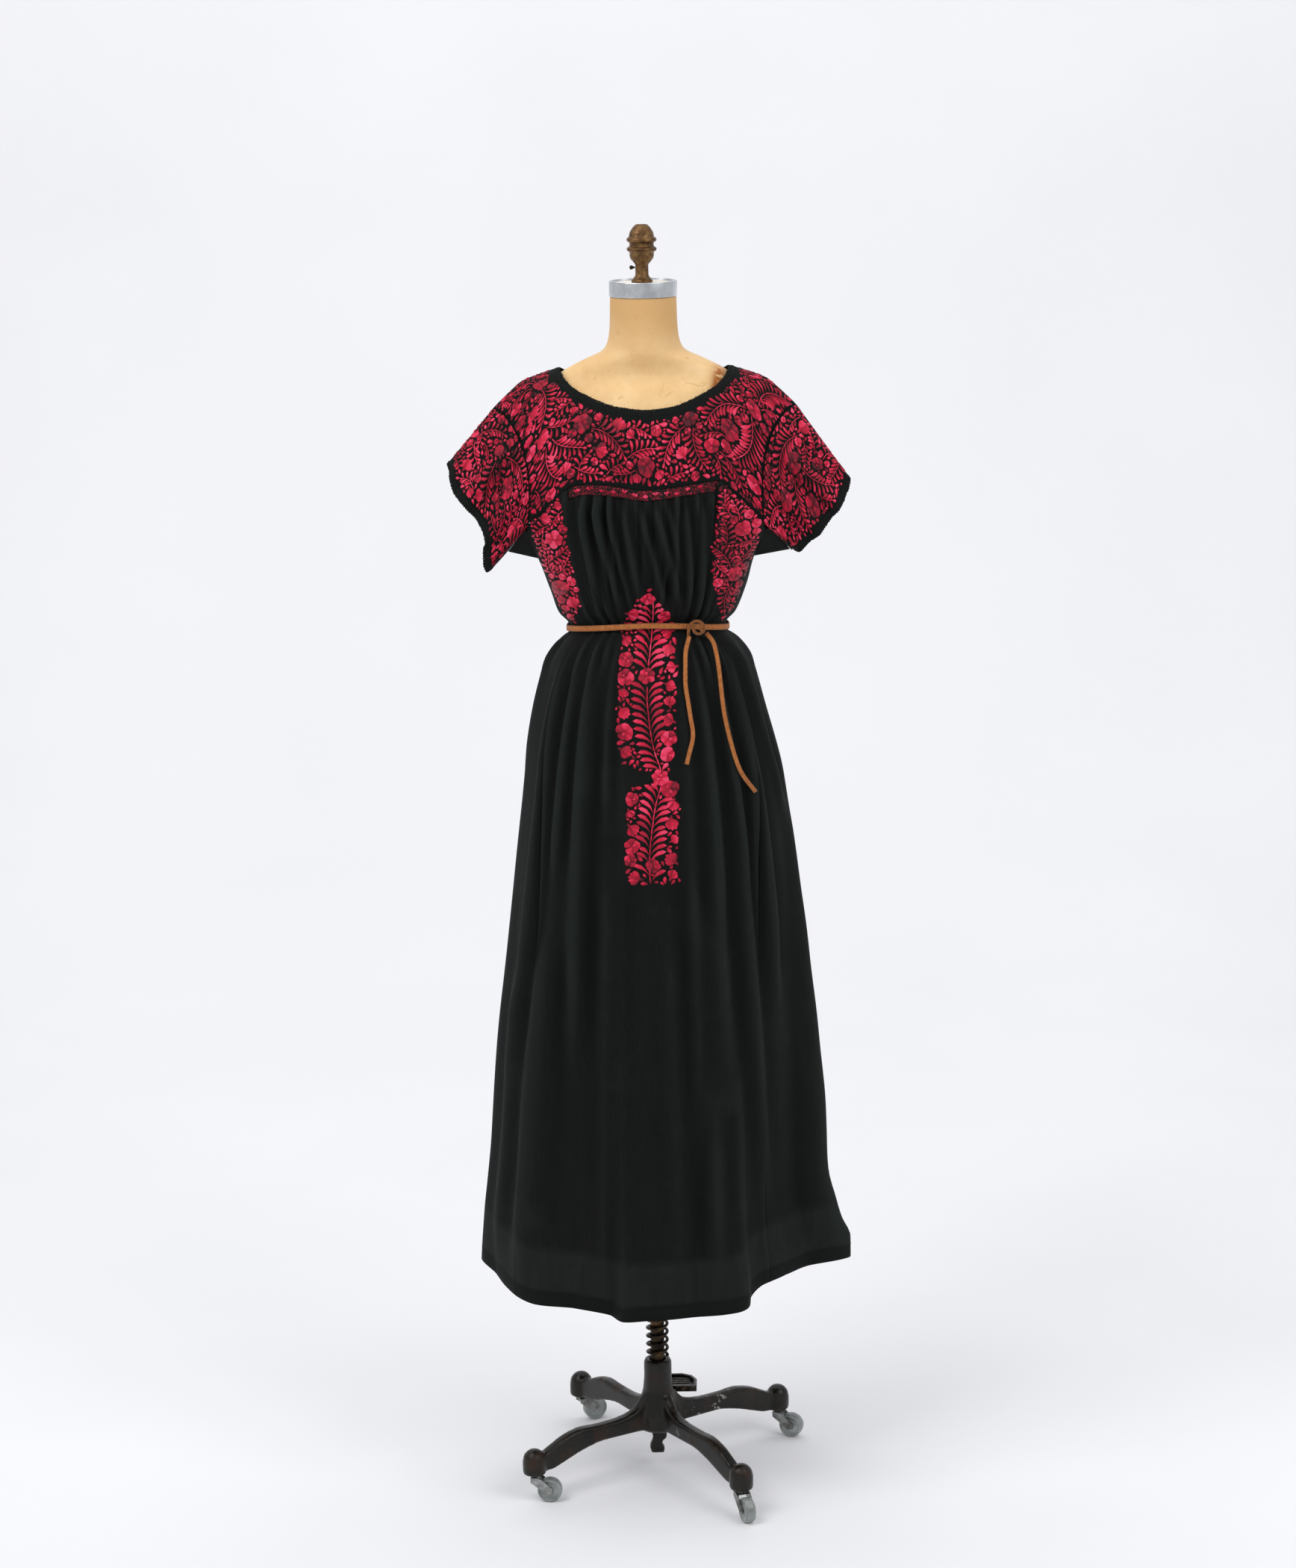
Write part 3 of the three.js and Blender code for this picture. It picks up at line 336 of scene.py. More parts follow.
def yoke_level(turn):
    """Height of the yoke's lower edge."""
    front = np.where(np.abs(turn) <= 90, turn, np.sign(turn) * (180 - np.abs(turn)))
    level = curve(YOKE_LEVELS, front)
    return np.where(np.abs(turn) <= 90, level, mix(1440, level, smooth(np.abs(front), 30, 52)))


def underarm(turn):
    side = np.clip(np.abs(np.abs(turn) - 90) / (90 - UNDERARM_FROM), 0, 1)
    return mix(UNDERARM_Z, yoke_level(np.sign(turn) * UNDERARM_FROM), side)


def body_top(turn):
    """Height of the lower cloth's top edge, where no smocked band covers it."""
    arm = np.abs(np.abs(turn) - 90) < 90 - UNDERARM_FROM - 0.01
    return np.where(arm, underarm(turn) - SEAM_GAP + 0.5, yoke_level(turn) - SEAM_GAP - 0.3)


class Yoke:
    """Front (side 1) or back (side -1) of the yoke as a surface over x and a share."""

    def __init__(self, side):
        self.side = side
        self.turns = np.linspace(-UNDERARM_FROM, UNDERARM_FROM, 1401)
        phi = self.turns if side > 0 else 180 - self.turns
        level = yoke_level(wrap(phi))
        self.low = body_point(phi, level, pleats=False)
        self.half = {1: abs(self.low[-1, 0]), -1: abs(self.low[0, 0])}

    def point(self, x, share):
        """Point by distance from the middle and share of the way down."""
        x, share = np.broadcast_arrays(np.asarray(x, float), np.asarray(share, float))
        half = np.where(x < 0, self.half[-1], self.half[1])
        scale = curve(ARMHOLE, share) / half + (1 - YOKE_HALF / half) * share
        low_x = np.clip(x / scale, self.low[0, 0], self.low[-1, 0])
        return self.column(low_x, share, half)

    def column(self, low_x, share, half=None):
        """Point of the column that meets the lower edge at low_x."""
        low_x, share = np.broadcast_arrays(np.asarray(low_x, float), np.asarray(share, float))
        if half is None:
            half = np.where(low_x < 0, self.half[-1], self.half[1])
        low_y = np.interp(low_x, self.low[:, 0], self.low[:, 1])
        low_z = np.interp(low_x, self.low[:, 0], self.low[:, 2])
        u = low_x / half
        x = u * curve(ARMHOLE, share) + (low_x - u * YOKE_HALF) * share
        top = curve(SHOULDER, np.abs(u) * RIDGE_HALF)
        angle = share * math.pi / 2
        z = mix(low_z, top, np.cos(angle))
        slit = self.side * 0.8 * (1 - share)
        return np.stack([x, low_y * np.sin(angle) - slit, z], -1)


YOKES = {"front": Yoke(1), "back": Yoke(-1)}


def between(a, b, c, d, f):
    """Smooth curve from b to c, where a and d are the key points on either side."""
    return 0.5 * (
        2 * b + (c - a) * f + (2 * a - 5 * b + 4 * c - d) * f * f + (3 * b - a - 3 * c + d) * f ** 3
    )


def loop_point(points, t):
    """Closed smooth loop through key points, read at even steps of t."""
    keys = np.asarray(points, float)
    s = np.mod(t, 1) * len(keys)
    i = np.floor(s).astype(int)
    return between(*(keys[(i + k) % len(keys)] for k in (-1, 0, 1, 2)), (s - i)[..., None])


def arm_loop(side, t):
    """The armhole: down the yoke's front edge, under the arm and up behind."""
    sign, corner, _ = SLEEVES[side]
    place = np.mod(t, 1) * 30
    front, back = YOKES["front"], YOKES["back"]
    edge = sign * np.array([front.half[sign], back.half[sign]])
    down, up = np.clip(place / 12, 0, 1), np.clip((30 - place) / 12, 0, 1)
    ahead, behind = front.column(edge[0], down), back.column(edge[1], up)
    first, last = front.column(edge[0], 1.0), back.column(edge[1], 1.0)
    corner = np.asarray(corner, float)
    under = np.clip((place - 12) / 3, 0, 1)[..., None]
    beyond = np.clip((place - 15) / 3, 0, 1)[..., None]
    low = np.where(place[..., None] < 15, mix(first, corner, under), mix(corner, last, beyond))
    point = np.where(place[..., None] <= 12, ahead, low)
    return np.where(place[..., None] >= 18, behind, point)


def sleeve_point(side, s, t):
    """Point of a sleeve by share of its length and turn round it."""
    s, t = np.broadcast_arrays(np.asarray(s, float), np.asarray(t, float))
    start, finish = arm_loop(side, t), loop_point(SLEEVES[side][2], t)
    ring = np.arange(30) / 30
    middle = mix(arm_loop(side, ring).mean(0), loop_point(SLEEVES[side][2], ring).mean(0), s[..., None])
    point = mix(start, finish, s[..., None])
    away = np.stack([
        np.zeros_like(s), point[..., 1] - middle[..., 1], (point[..., 2] - middle[..., 2]) * 0.4
    ], -1)
    away = away / np.maximum(np.linalg.norm(away, axis=-1, keepdims=True), 1e-6)
    strength = np.sin(math.pi * np.minimum(s * 0.72, 0.75))
    crease = 0.5 * ripple(t * 70 + s * 2.2, 21 if side == "left" else 22, 3) * np.sin(math.pi * s)
    return point + away * ((curve(SLEEVE_FOLDS, np.mod(t, 1)) * strength + crease)[..., None])


def gusset_point(side, down, along):
    """Point of the diamond of cloth under the arm."""
    sign, corner, _ = SLEEVES[side]
    down, along = np.broadcast_arrays(np.asarray(down, float), np.asarray(along, float))
    phi = sign * mix(UNDERARM_FROM, 180 - UNDERARM_FROM, along)
    inner = body_point(phi, underarm(wrap(phi)), pleats=False)
    front = YOKES["front"].column(sign * YOKES["front"].half[sign], 1.0)
    back = YOKES["back"].column(sign * YOKES["back"].half[sign], 1.0)
    corner = np.asarray(corner, float)
    t = along[..., None]
    outer = np.where(t < 0.5, mix(front, corner, t * 2), mix(corner, back, t * 2 - 1))
    reach = np.linalg.norm(outer - inner, axis=-1)
    share = mix(0.5 / reach, 1 - 2.2 / reach, down)
    return mix(inner, outer, share[..., None]) + np.array([0, 0, 1.2])


def neck_edge(count):
    """Even points round the neck opening, the way into it in the cloth, and the outward way."""
    rows = []
    x = NECK_HALF * np.sin(np.linspace(-0.5, 0.5, 181) * math.pi)
    for side, order in (("front", 1), ("back", -1)):
        yoke = YOKES[side]
        share = np.maximum(curve(NECKLINES[side], np.abs(x)), 0.01)
        here = yoke.point(x, share)
        normal = np.cross(yoke.point(x + 1, share) - here, yoke.point(x, share + 0.01) - here)
        normal = unit(normal * np.sign(normal[:, 2:]))
        rows.append(np.concatenate([here, normal], axis=1)[::order])
    line = np.concatenate(rows)
    points, normal = even_loop(line[:, :3], count), even_loop(line, count)[:, 3:]
    normal = unit(sum(np.roll(normal, k, 0) for k in range(-4, 5)))
    away = np.cross(normal, np.roll(points, -1, 0) - np.roll(points, 1, 0))
    away *= np.sign(-(away[:, :2] * points[:, :2]).sum(1, keepdims=True))
    return points, unit(away), normal


def even_loop(line, count):
    """Rows at even distances along a closed line, whose first three columns are its points."""
    closed = np.concatenate([line, line[:1]])
    run = run_along(closed[:, :3])
    want = np.linspace(0, run[-1], count, endpoint=False)
    return np.stack([np.interp(want, run, column) for column in closed.T], -1)


def belt_line(count):
    """Middle of the belt round the waist."""
    phi = np.linspace(-180, 180, count, endpoint=False)
    r = section(phi, WAIST_Z + waist_lift(phi), CLOTH / 2 + BELT_THICK / 2 + 2.4)
    return round_about(phi, r, WAIST_Z + waist_lift(phi))


def cloth_front(x, z):
    """How far forward the cloth comes near a place of the skirt."""
    phi = np.arange(-60, 75.1, 0.5)
    rows = [body_point(phi, z + dz) for dz in (-12, -6, 0, 6)]
    points = np.concatenate(rows)
    return points[np.abs(points[:, 0] - x) < 7, 1].min()


def lace_path(places, settled, count=60):
    """Line of a hanging end, lying on the cloth."""
    keys = np.array([
        (x, cloth_front(x, z) - CLOTH / 2 - BELT_THICK / 2 + settled, z) for x, z in places
    ])
    knots = np.concatenate([[0], np.cumsum(np.linalg.norm(np.diff(keys, axis=0), axis=1) ** 0.5)])
    ends = np.concatenate([[2 * keys[0] - keys[1]], keys, [2 * keys[-1] - keys[-2]]])
    t = np.concatenate([[2 * knots[0] - knots[1]], knots, [2 * knots[-1] - knots[-2]]])
    fine = []
    for i in range(1, len(keys)):
        t0, t1, t2, t3 = t[i - 1:i + 3]
        p0, p1, p2, p3 = ends[i - 1:i + 3]
        for s in np.linspace(t1, t2, 24, endpoint=False):
            a = mix(p0, p1, (s - t0) / (t1 - t0))
            b = mix(p1, p2, (s - t1) / (t2 - t1))
            c = mix(p2, p3, (s - t2) / (t3 - t2))
            d, e = mix(a, b, (s - t0) / (t2 - t0)), mix(b, c, (s - t1) / (t3 - t1))
            fine.append(mix(d, e, (s - t1) / (t2 - t1)))
    fine = np.array(fine + [keys[-1]])
    run = run_along(fine)
    want = np.linspace(0, run[-1], count + 1)
    return np.stack([np.interp(want, run, fine[:, k]) for k in range(3)], -1)


# ---- making meshes -----------------------------------------------------------
def linear(hex_colour):
    """Linear colour of an sRGB hex value."""
    parts = [int(hex_colour[i:i + 2], 16) / 255 for i in (1, 3, 5)]
    return [p / 12.92 if p <= 0.04045 else ((p + 0.055) / 1.055) ** 2.4 for p in parts] + [1.0]


def make_mesh(name, points, faces, finish, uv=None, facts=()):
    """Object from points in millimetres and faces, with loop UVs and point attributes."""
    mesh = bpy.data.meshes.new(name)
    mesh.from_pydata((np.asarray(points, float) * MM).tolist(), [], [list(f) for f in faces])
    if uv is not None:
        layer = mesh.uv_layers.new(name="UVMap")
        index = np.zeros(len(mesh.loops), int)
        mesh.loops.foreach_get("vertex_index", index)
        layer.data.foreach_set("uv", np.asarray(uv, np.float32)[index].ravel())
    for key, values in dict(facts).items():
        attribute = mesh.attributes.new(key, "FLOAT", "POINT")
        attribute.data.foreach_set("value", np.asarray(values, np.float32).ravel())
    mesh.update()
    mesh.shade_smooth()
    mesh.materials.append(finish)
    obj = bpy.data.objects.new(name, mesh)
    bpy.context.scene.collection.objects.link(obj)
    return obj


def grid_faces(rows, columns, closed=False, offset=0, flip=False):
    """Quads of a grid of points, row by row."""
    across = columns if closed else columns - 1
    r, c = np.meshgrid(np.arange(rows - 1), np.arange(across), indexing="ij")
    a, b = r * columns + c, r * columns + (c + 1) % columns
    quads = np.stack([a, a + columns, b + columns, b], -1).reshape(-1, 4) + offset
    return quads[:, ::-1] if flip else quads


def ring_faces(rows, sides, joined=False):
    """Outward faces of rings that turn left about their path, capped or joined end to end."""
    if joined:
        return (grid_faces(rows + 1, sides, closed=True, flip=True) % (rows * sides)).tolist()
    last = (rows - 1) * sides
    return grid_faces(rows, sides, closed=True, flip=True).tolist() + [
        list(range(sides))[::-1], [last + k for k in range(sides)]]


def normals_of(grid, closed=False):
    """Outward normals of a grid whose rows go down and columns go to the right."""
    if closed:
        across = np.roll(grid, -1, 1) - np.roll(grid, 1, 1)
    else:
        across = np.gradient(grid, axis=1)
    down = np.gradient(grid, axis=0)
    normal = np.cross(down, across)
    return normal / np.maximum(np.linalg.norm(normal, axis=-1, keepdims=True), 1e-9)


def cloth_shell(name, grid, thick, finish, closed=False, facts=None):
    """Cloth of even thickness on a grid of points, with rims at its open edges."""
    rows, columns = grid.shape[:2]
    normal = normals_of(grid, closed)
    outer, inner = grid + normal * thick / 2, grid - normal * thick / 2
    points = np.concatenate([outer.reshape(-1, 3), inner.reshape(-1, 3)])
    size = rows * columns
    faces = [
        grid_faces(rows, columns, closed), grid_faces(rows, columns, closed, size, flip=True)
    ]
    across = np.arange(columns if closed else columns - 1)
    after = (across + 1) % columns
    low = (rows - 1) * columns
    faces.append(np.stack([across, after, after + size, across + size], -1))
    faces.append(np.stack([low + across, low + across + size, low + after + size, low + after], -1))
    if not closed:
        left = np.arange(rows - 1) * columns
        right = left + columns - 1
        faces.append(np.stack([left, left + size, left + columns + size, left + columns], -1))
        faces.append(np.stack([right, right + columns, right + columns + size, right + size], -1))
    step = np.linalg.norm(np.diff(grid, axis=1), axis=-1).mean(0)
    drop = np.linalg.norm(np.diff(grid, axis=0), axis=-1)
    u = np.concatenate([[0], np.cumsum(step)])
    v = np.concatenate([np.zeros((1, columns)), np.cumsum(drop, axis=0)])
    uv = np.stack([np.broadcast_to(u, v.shape), v], -1).reshape(-1, 2) * MM
    doubled = {key: np.concatenate([value.ravel()] * 2) for key, value in (facts or {}).items()}
    return make_mesh(
        name, points, np.concatenate(faces).tolist(), finish, np.concatenate([uv, uv]), doubled
    )


def grid_area(grid, closed=False):
    """Area of a grid of points, in square metres."""
    after = np.roll(grid, -1, 1) if closed else grid[:, 1:]
    here = grid if closed else grid[:, :-1]
    a, b = after[1:] - here[:-1], here[1:] - after[:-1]
    return float(np.linalg.norm(np.cross(a, b), axis=-1).sum() / 2) * MM * MM


def revolved(profile, sides, centre=(0, 0)):
    """Points and faces of a solid of revolution, from an open or closed profile."""
    turn = np.arange(sides) * 2 * math.pi / sides
    joined = tuple(profile[0]) == tuple(profile[-1])
    rows = profile[:-1] if joined else profile
    grid = np.array([
        np.stack([centre[0] + r * np.cos(turn), centre[1] + r * np.sin(turn), np.full(sides, z)], -1)
        for r, z in rows
    ])
    return grid.reshape(-1, 3), ring_faces(len(rows), sides, joined)


def rounded(profile, radius=1.2, steps=3):
    """The same open profile with its corners rounded."""
    line = [np.asarray(profile[0], float)]
    for before, corner, after in zip(profile, profile[1:], profile[2:]):
        p, a, b = (np.asarray(v, float) for v in (corner, before, after))
        r = min(radius, np.linalg.norm(a - p) * 0.45, np.linalg.norm(b - p) * 0.45)
        first = p + (a - p) / max(np.linalg.norm(a - p), 1e-6) * r
        last = p + (b - p) / max(np.linalg.norm(b - p), 1e-6) * r
        for k in range(steps + 1):
            t = k / steps
            line.append(mix(mix(first, p, t), mix(p, last, t), t))
    line.append(np.asarray(profile[-1], float))
    return line


def tube(path, radius, sides=10, closed=False):
    """Points and faces of a round tube along a path, capped where it is open."""
    path = np.asarray(path, float)
    along = unit(np.roll(path, -1, 0) - np.roll(path, 1, 0) if closed else np.gradient(path, axis=0))
    across = np.cross(along[0], [0.0, 1.0, 0.3])
    frames = []
    for direction in along:
        across = across - direction * np.dot(across, direction)
        across /= np.linalg.norm(across)
        frames.append((across.copy(), np.cross(direction, across)))
    turn = np.arange(sides) * 2 * math.pi / sides
    radii = np.broadcast_to(radius, (len(path),))
    grid = np.array([
        p + r * (np.cos(turn)[:, None] * a + np.sin(turn)[:, None] * b)
        for p, (a, b), r in zip(path, frames, radii)
    ])
    return grid.reshape(-1, 3), ring_faces(len(path), sides, closed)


def merged(parts):
    """Points and faces of several (points, faces) pairs together."""
    faces, start = [], 0
    for points, part_faces in parts:
        faces += [[i + start for i in face] for face in part_faces]
        start += len(points)
    return np.concatenate([np.asarray(points, float) for points, _ in parts]), faces


def join_parts(name, parts, finish):
    """One object from several (points, faces) pairs."""
    return make_mesh(name, *merged(parts), finish)


def block(size, centre, turn=0.0):
    """Points and faces of a box, turned about the vertical."""
    x, y, z = (s / 2 for s in size)
    corners = np.array([(a * x, b * y, c * z) for c in (-1, 1) for b in (-1, 1) for a in (-1, 1)])
    spin = np.array([
        [math.cos(turn), -math.sin(turn), 0], [math.sin(turn), math.cos(turn), 0], [0, 0, 1]
    ])
    faces = [(0, 2, 3, 1), (4, 5, 7, 6), (0, 1, 5, 4), (2, 6, 7, 3), (0, 4, 6, 2), (1, 3, 7, 5)]
    return corners @ spin.T + np.asarray(centre, float), faces


def made_plain(obj):
    """Takes the object's modifiers into its mesh."""
    plain = bpy.data.meshes.new_from_object(
        obj.evaluated_get(bpy.context.evaluated_depsgraph_get()))
    obj.modifiers.clear()
    obj.data = plain
    return plain


def soften(obj, width):
    """Rounds an object's sharp edges and keeps its flats flat."""
    bevel = obj.modifiers.new("edges", "BEVEL")
    bevel.width, bevel.segments = width * MM, 2
    bevel.limit_method, bevel.angle_limit = "ANGLE", math.radians(35)
    bevel.harden_normals = True
    made_plain(obj)
    return obj


# ---- geometry nodes: one piece repeated along a path -------------------------
def repeat_tree():
    """Node tree that sets copies of a small piece along the modified object's edges."""
    tree = bpy.data.node_groups.new("repeat_along_path", "GeometryNodeTree")
    face = tree.interface
    face.new_socket("Path", in_out="INPUT", socket_type="NodeSocketGeometry")
    for name, kind, value in (
        ("Piece", "NodeSocketObject", None), ("Spacing", "NodeSocketFloat", 0.004),
        ("Size", "NodeSocketFloat", 1.0), ("Size variation", "NodeSocketFloat", 0.08),
        ("Turn variation", "NodeSocketFloat", 0.1), ("Seed", "NodeSocketInt", 1),
        ("Finish", "NodeSocketMaterial", None),
    ):
        socket = face.new_socket(name, in_out="INPUT", socket_type=kind)
        if value is not None:
            socket.default_value = value
    face.new_socket("Pieces", in_out="OUTPUT", socket_type="NodeSocketGeometry")
    made = tree.nodes.new
    enter, leave = made("NodeGroupInput"), made("NodeGroupOutput")
    line, even = made("GeometryNodeMeshToCurve"), made("GeometryNodeResampleCurve")
    even.mode = "LENGTH"
    piece, copies = made("GeometryNodeObjectInfo"), made("GeometryNodeInstanceOnPoints")
    axes, spin = made("FunctionNodeAxesToRotation"), made("FunctionNodeRotateRotation")
    axes.primary_axis, axes.secondary_axis = "Z", "X"
    spin.rotation_space = "LOCAL"
    outward, along = made("GeometryNodeInputNamedAttribute"), made("GeometryNodeInputTangent")
    outward.data_type = "FLOAT_VECTOR"
    outward.inputs["Name"].default_value = "outward"
    size_range, turn_range = made("FunctionNodeRandomValue"), made("FunctionNodeRandomValue")
    turn_range.data_type = "FLOAT_VECTOR"
    low, high, minus = (made("ShaderNodeMath") for _ in range(3))
    low.operation, high.operation, minus.operation = "SUBTRACT", "ADD", "MULTIPLY"
    scale, real, paint = (
        made("ShaderNodeMath"), made("GeometryNodeRealizeInstances"), made("GeometryNodeSetMaterial")
    )
    scale.operation = "MULTIPLY"
    low.inputs[0].default_value = high.inputs[0].default_value = 1.0
    minus.inputs[1].default_value = -1.0
    for source, output, target, entry in (
        (enter, "Path", line, 0), (line, 0, even, "Curve"), (enter, "Spacing", even, "Length"),
        (enter, "Piece", piece, "Object"), (outward, "Attribute", axes, "Primary Axis"),
        (along, 0, axes, "Secondary Axis"), (axes, 0, spin, "Rotation"),
        (enter, "Size variation", low, 1), (enter, "Size variation", high, 1),
        (low, 0, size_range, 2), (high, 0, size_range, 3), (enter, "Seed", size_range, "Seed"),
        (enter, "Turn variation", minus, 0), (minus, 0, turn_range, 0),
        (enter, "Turn variation", turn_range, 1), (enter, "Seed", turn_range, "Seed"),
        (turn_range, 0, spin, "Rotate By"), (size_range, 1, scale, 0), (enter, "Size", scale, 1),
        (even, 0, copies, "Points"), (piece, "Geometry", copies, "Instance"),
        (spin, 0, copies, "Rotation"), (scale, 0, copies, "Scale"), (copies, 0, real, 0),
        (real, 0, paint, "Geometry"), (enter, "Finish", paint, "Material"), (paint, 0, leave, 0),
    ):
        tree.links.new(source.outputs[output], target.inputs[entry])
    return tree


def repeat_along(name, line, outward, piece, spacing, finish, closed=True, size=1.0,
                 size_variation=0.08, turn_variation=0.1, seed=1):
    """Object made of copies of a piece along a line of points in millimetres."""
    tree = bpy.data.node_groups.get("repeat_along_path") or repeat_tree()
    mesh = bpy.data.meshes.new(name)
    count = len(line)
    edges = [(k, (k + 1) % count) for k in range(count if closed else count - 1)]
    mesh.from_pydata((np.asarray(line, float) * MM).tolist(), edges, [])
    attribute = mesh.attributes.new("outward", "FLOAT_VECTOR", "POINT")
    attribute.data.foreach_set("vector", np.asarray(outward, np.float32).ravel())
    obj = bpy.data.objects.new(name, mesh)
    bpy.context.scene.collection.objects.link(obj)
    modifier = obj.modifiers.new("pieces", "NODES")
    modifier.node_group = tree
    values = {
        "Piece": piece, "Spacing": spacing * MM, "Size": size, "Size variation": size_variation,
        "Turn variation": turn_variation, "Seed": seed, "Finish": finish,
    }
    for item in tree.interface.items_tree:
        if item.in_out == "INPUT" and item.name in values:
            modifier[item.identifier] = values[item.name]
    plain = made_plain(obj)
    if not plain.polygons:
        raise RuntimeError(f"{name}: the path carries no pieces")
    plain.shade_smooth()
    return obj


def hidden_piece(name, points, faces):
    """Small piece for the node tree to copy, kept out of the scene."""
    mesh = bpy.data.meshes.new(name)
    mesh.from_pydata((np.asarray(points, float) * MM).tolist(), [], faces)
    return bpy.data.objects.new(name, mesh)


# ---- materials ---------------------------------------------------------------
# Node type, the inputs that its values go to in order, its output, and its settings.
NODES = {
    "place": ("ShaderNodeTexCoord", (), "Object", {}),
    "flat": ("ShaderNodeTexCoord", (), "UV", {}),
    "stretch": ("ShaderNodeMapping", ("Vector", "Scale"), 0, {}),
    "height": ("ShaderNodeSeparateXYZ", ("Vector",), "Z", {}),
    "attribute": ("ShaderNodeAttribute", (), "Fac", {}),
    "edges": ("ShaderNodeNewGeometry", (), "Pointiness", {}),
    "behind": ("ShaderNodeNewGeometry", (), "Backfacing", {}),
    "noise": ("ShaderNodeTexNoise", ("Vector", "Scale", "Detail", "Roughness"), "Fac", {}),
    "cells": ("ShaderNodeTexVoronoi", ("Vector", "Scale"), "Distance", {}),
    "cracks": ("ShaderNodeTexVoronoi", ("Vector", "Scale"), "Distance",
               {"feature": "DISTANCE_TO_EDGE"}),
    "threads": ("ShaderNodeTexWave", ("Vector", "Scale", "Distortion", "Detail Scale"), "Fac", {}),
    "span": ("ShaderNodeMapRange", ("Value", "From Min", "From Max", "To Min", "To Max"),
             "Result", {}),
    "plus": ("ShaderNodeMath", (0, 1), 0, {"operation": "ADD"}),
    "minus": ("ShaderNodeMath", (0, 1), 0, {"operation": "SUBTRACT"}),
    "times": ("ShaderNodeMath", (0, 1), 0, {"operation": "MULTIPLY"}),
    "steps": ("ShaderNodeValToRGB", ("Fac",), "Color", {}),
    "blend": ("ShaderNodeMix", (0, 6, 7), 2, {"data_type": "RGBA"}),
    "relief": ("ShaderNodeBump", ("Height", "Strength", "Distance", "Normal"), 0, {}),
}
# The scale at which a pattern repeats every millimetre.
ONE_MM = {"noise": 1000, "cells": 1000, "cracks": 1000, "threads": 100 * math.pi}


class Finish:
    """A material under construction. Its patterns' sizes are in millimetres."""

    def __init__(self, name, colour, roughness, metallic=0.0, **settings):
        self.material = bpy.data.materials.new(name)
        self.material.use_nodes = True
        self.material.diffuse_color = linear(colour)
        self.tree = self.material.node_tree
        self.shader = self.tree.nodes["Principled BSDF"].inputs
        self.shader["Base Color"].default_value = linear(colour)
        self.shader["Roughness"].default_value = roughness
        self.shader["Metallic"].default_value = metallic
        for key, value in settings.items():
            self.shader[key.replace("_", " ")].default_value = value
        self.place, self.flat = self.node("place"), self.node("flat")

    def node(self, kind, *values, stops=(), **settings):
        """Adds a node with its values, links and settings, and returns its output."""
        node_type, inputs, output, fixed = NODES[kind]
        made = self.tree.nodes.new(node_type)
        for key, value in {**fixed, **settings}.items():
            setattr(made, key, value)
        if stops:
            points = made.color_ramp.elements
            while len(points) < len(stops):
                points.new(0.5)
            for point, (position, colour) in zip(points, stops):
                point.position, point.color = position, linear(colour)
        for key, value in zip(inputs, values):
            if isinstance(value, bpy.types.NodeSocket):
                self.tree.links.new(value, made.inputs[key])
            elif key == "Scale" and kind in ONE_MM:
                made.inputs[key].default_value = ONE_MM[kind] / value
            else:
                made.inputs[key].default_value = linear(value) if isinstance(value, str) else value
        return made.outputs[output]

    def done(self, colour, bumps=(), roughness=None, alpha=None):
        """Links what was made to the shader; a bump is a height, a strength and a depth in metres."""
        normal = None
        for bump in bumps:
            below = () if normal is None else (normal,)
            normal = self.node("relief", *bump, *below)
        for key, value in (
            ("Base Color", colour), ("Roughness", roughness), ("Alpha", alpha), ("Normal", normal)
        ):
            if value is not None:
                self.tree.links.new(value, self.shader[key])
        return self.material


def weave(f):
    """Bump of threads both ways, 0.49 mm apart: coarser than the real ones, so that they show."""
    across, along = (
        f.node("threads", f.flat, 0.4909, 1.5, 2.0, bands_direction=way) for way in "XY"
    )
    return f.node("plus", across, along), 0.25, 0.00012


def cotton_finish(colour):
    """Thin plain-weave cotton, washed black: dull and streaky, and sheerer above its turned hem."""
    f = Finish("washed_black_cotton", colour, 0.8, Specular_IOR_Level=0.14)
    hem, crest = (f.node("attribute", attribute_name=name) for name in ("hem", "crest"))
    # Slubs down the cloth, drawn 2.4 mm wide so that they show, and patches of wear.
    slubs = f.node("noise", f.node("stretch", f.place, (1, 1, 0.04)), 2.381, 3, 0.7)
    worn = f.node("steps", f.node("noise", f.place, 111.1, 3, 0.6), stops=(
        (0.3, "#0c0e0c"), (0.55, colour), (0.75, "#141714")))
    streaked = f.node("blend", f.node("span", slubs, 0.5, 0.72, 0, 0.3), worn, "#1e221f")
    # The hem is a double layer; the single layer over it lets some light through.
    turned = f.node("span", hem, 0.0185, 0.0195, 1, 0)
    sheer = f.node("times", f.node("span", hem, 0.019, 0.024), f.node("span", hem, 0.074, 0.088, 1, 0))
    uneven = f.node("noise", f.node("stretch", f.place, (1, 1, 0.15)), 16.67, 3, 0.6)
    sheer = f.node("times", sheer, f.node("span", uneven, 0.3, 0.7, 0.45, 1.0))
    # Painted shade darkens the folds' valleys, and a painted highlight lightens their crests.
    shaded = f.node("blend", f.node("span", crest, 0.1, -0.8, 0, 0.9), streaked, "#020303")
    crest_highlighted = f.node("blend", f.node("span", crest, 0.1, 1.0, 0, 0.7), shaded, "#1c221f")
    lit = f.node("blend", f.node("times", sheer, 0.6), crest_highlighted, "#1f2422")
    creases = f.node("noise", f.node("stretch", f.place, (1, 1, 0.45)), 38.46, 5, 0.55)
    return f.done(f.node("blend", f.node("times", turned, 0.6), lit, "#0a0c0b"),
                  [(creases, 0.5, 0.0018), weave(f)])


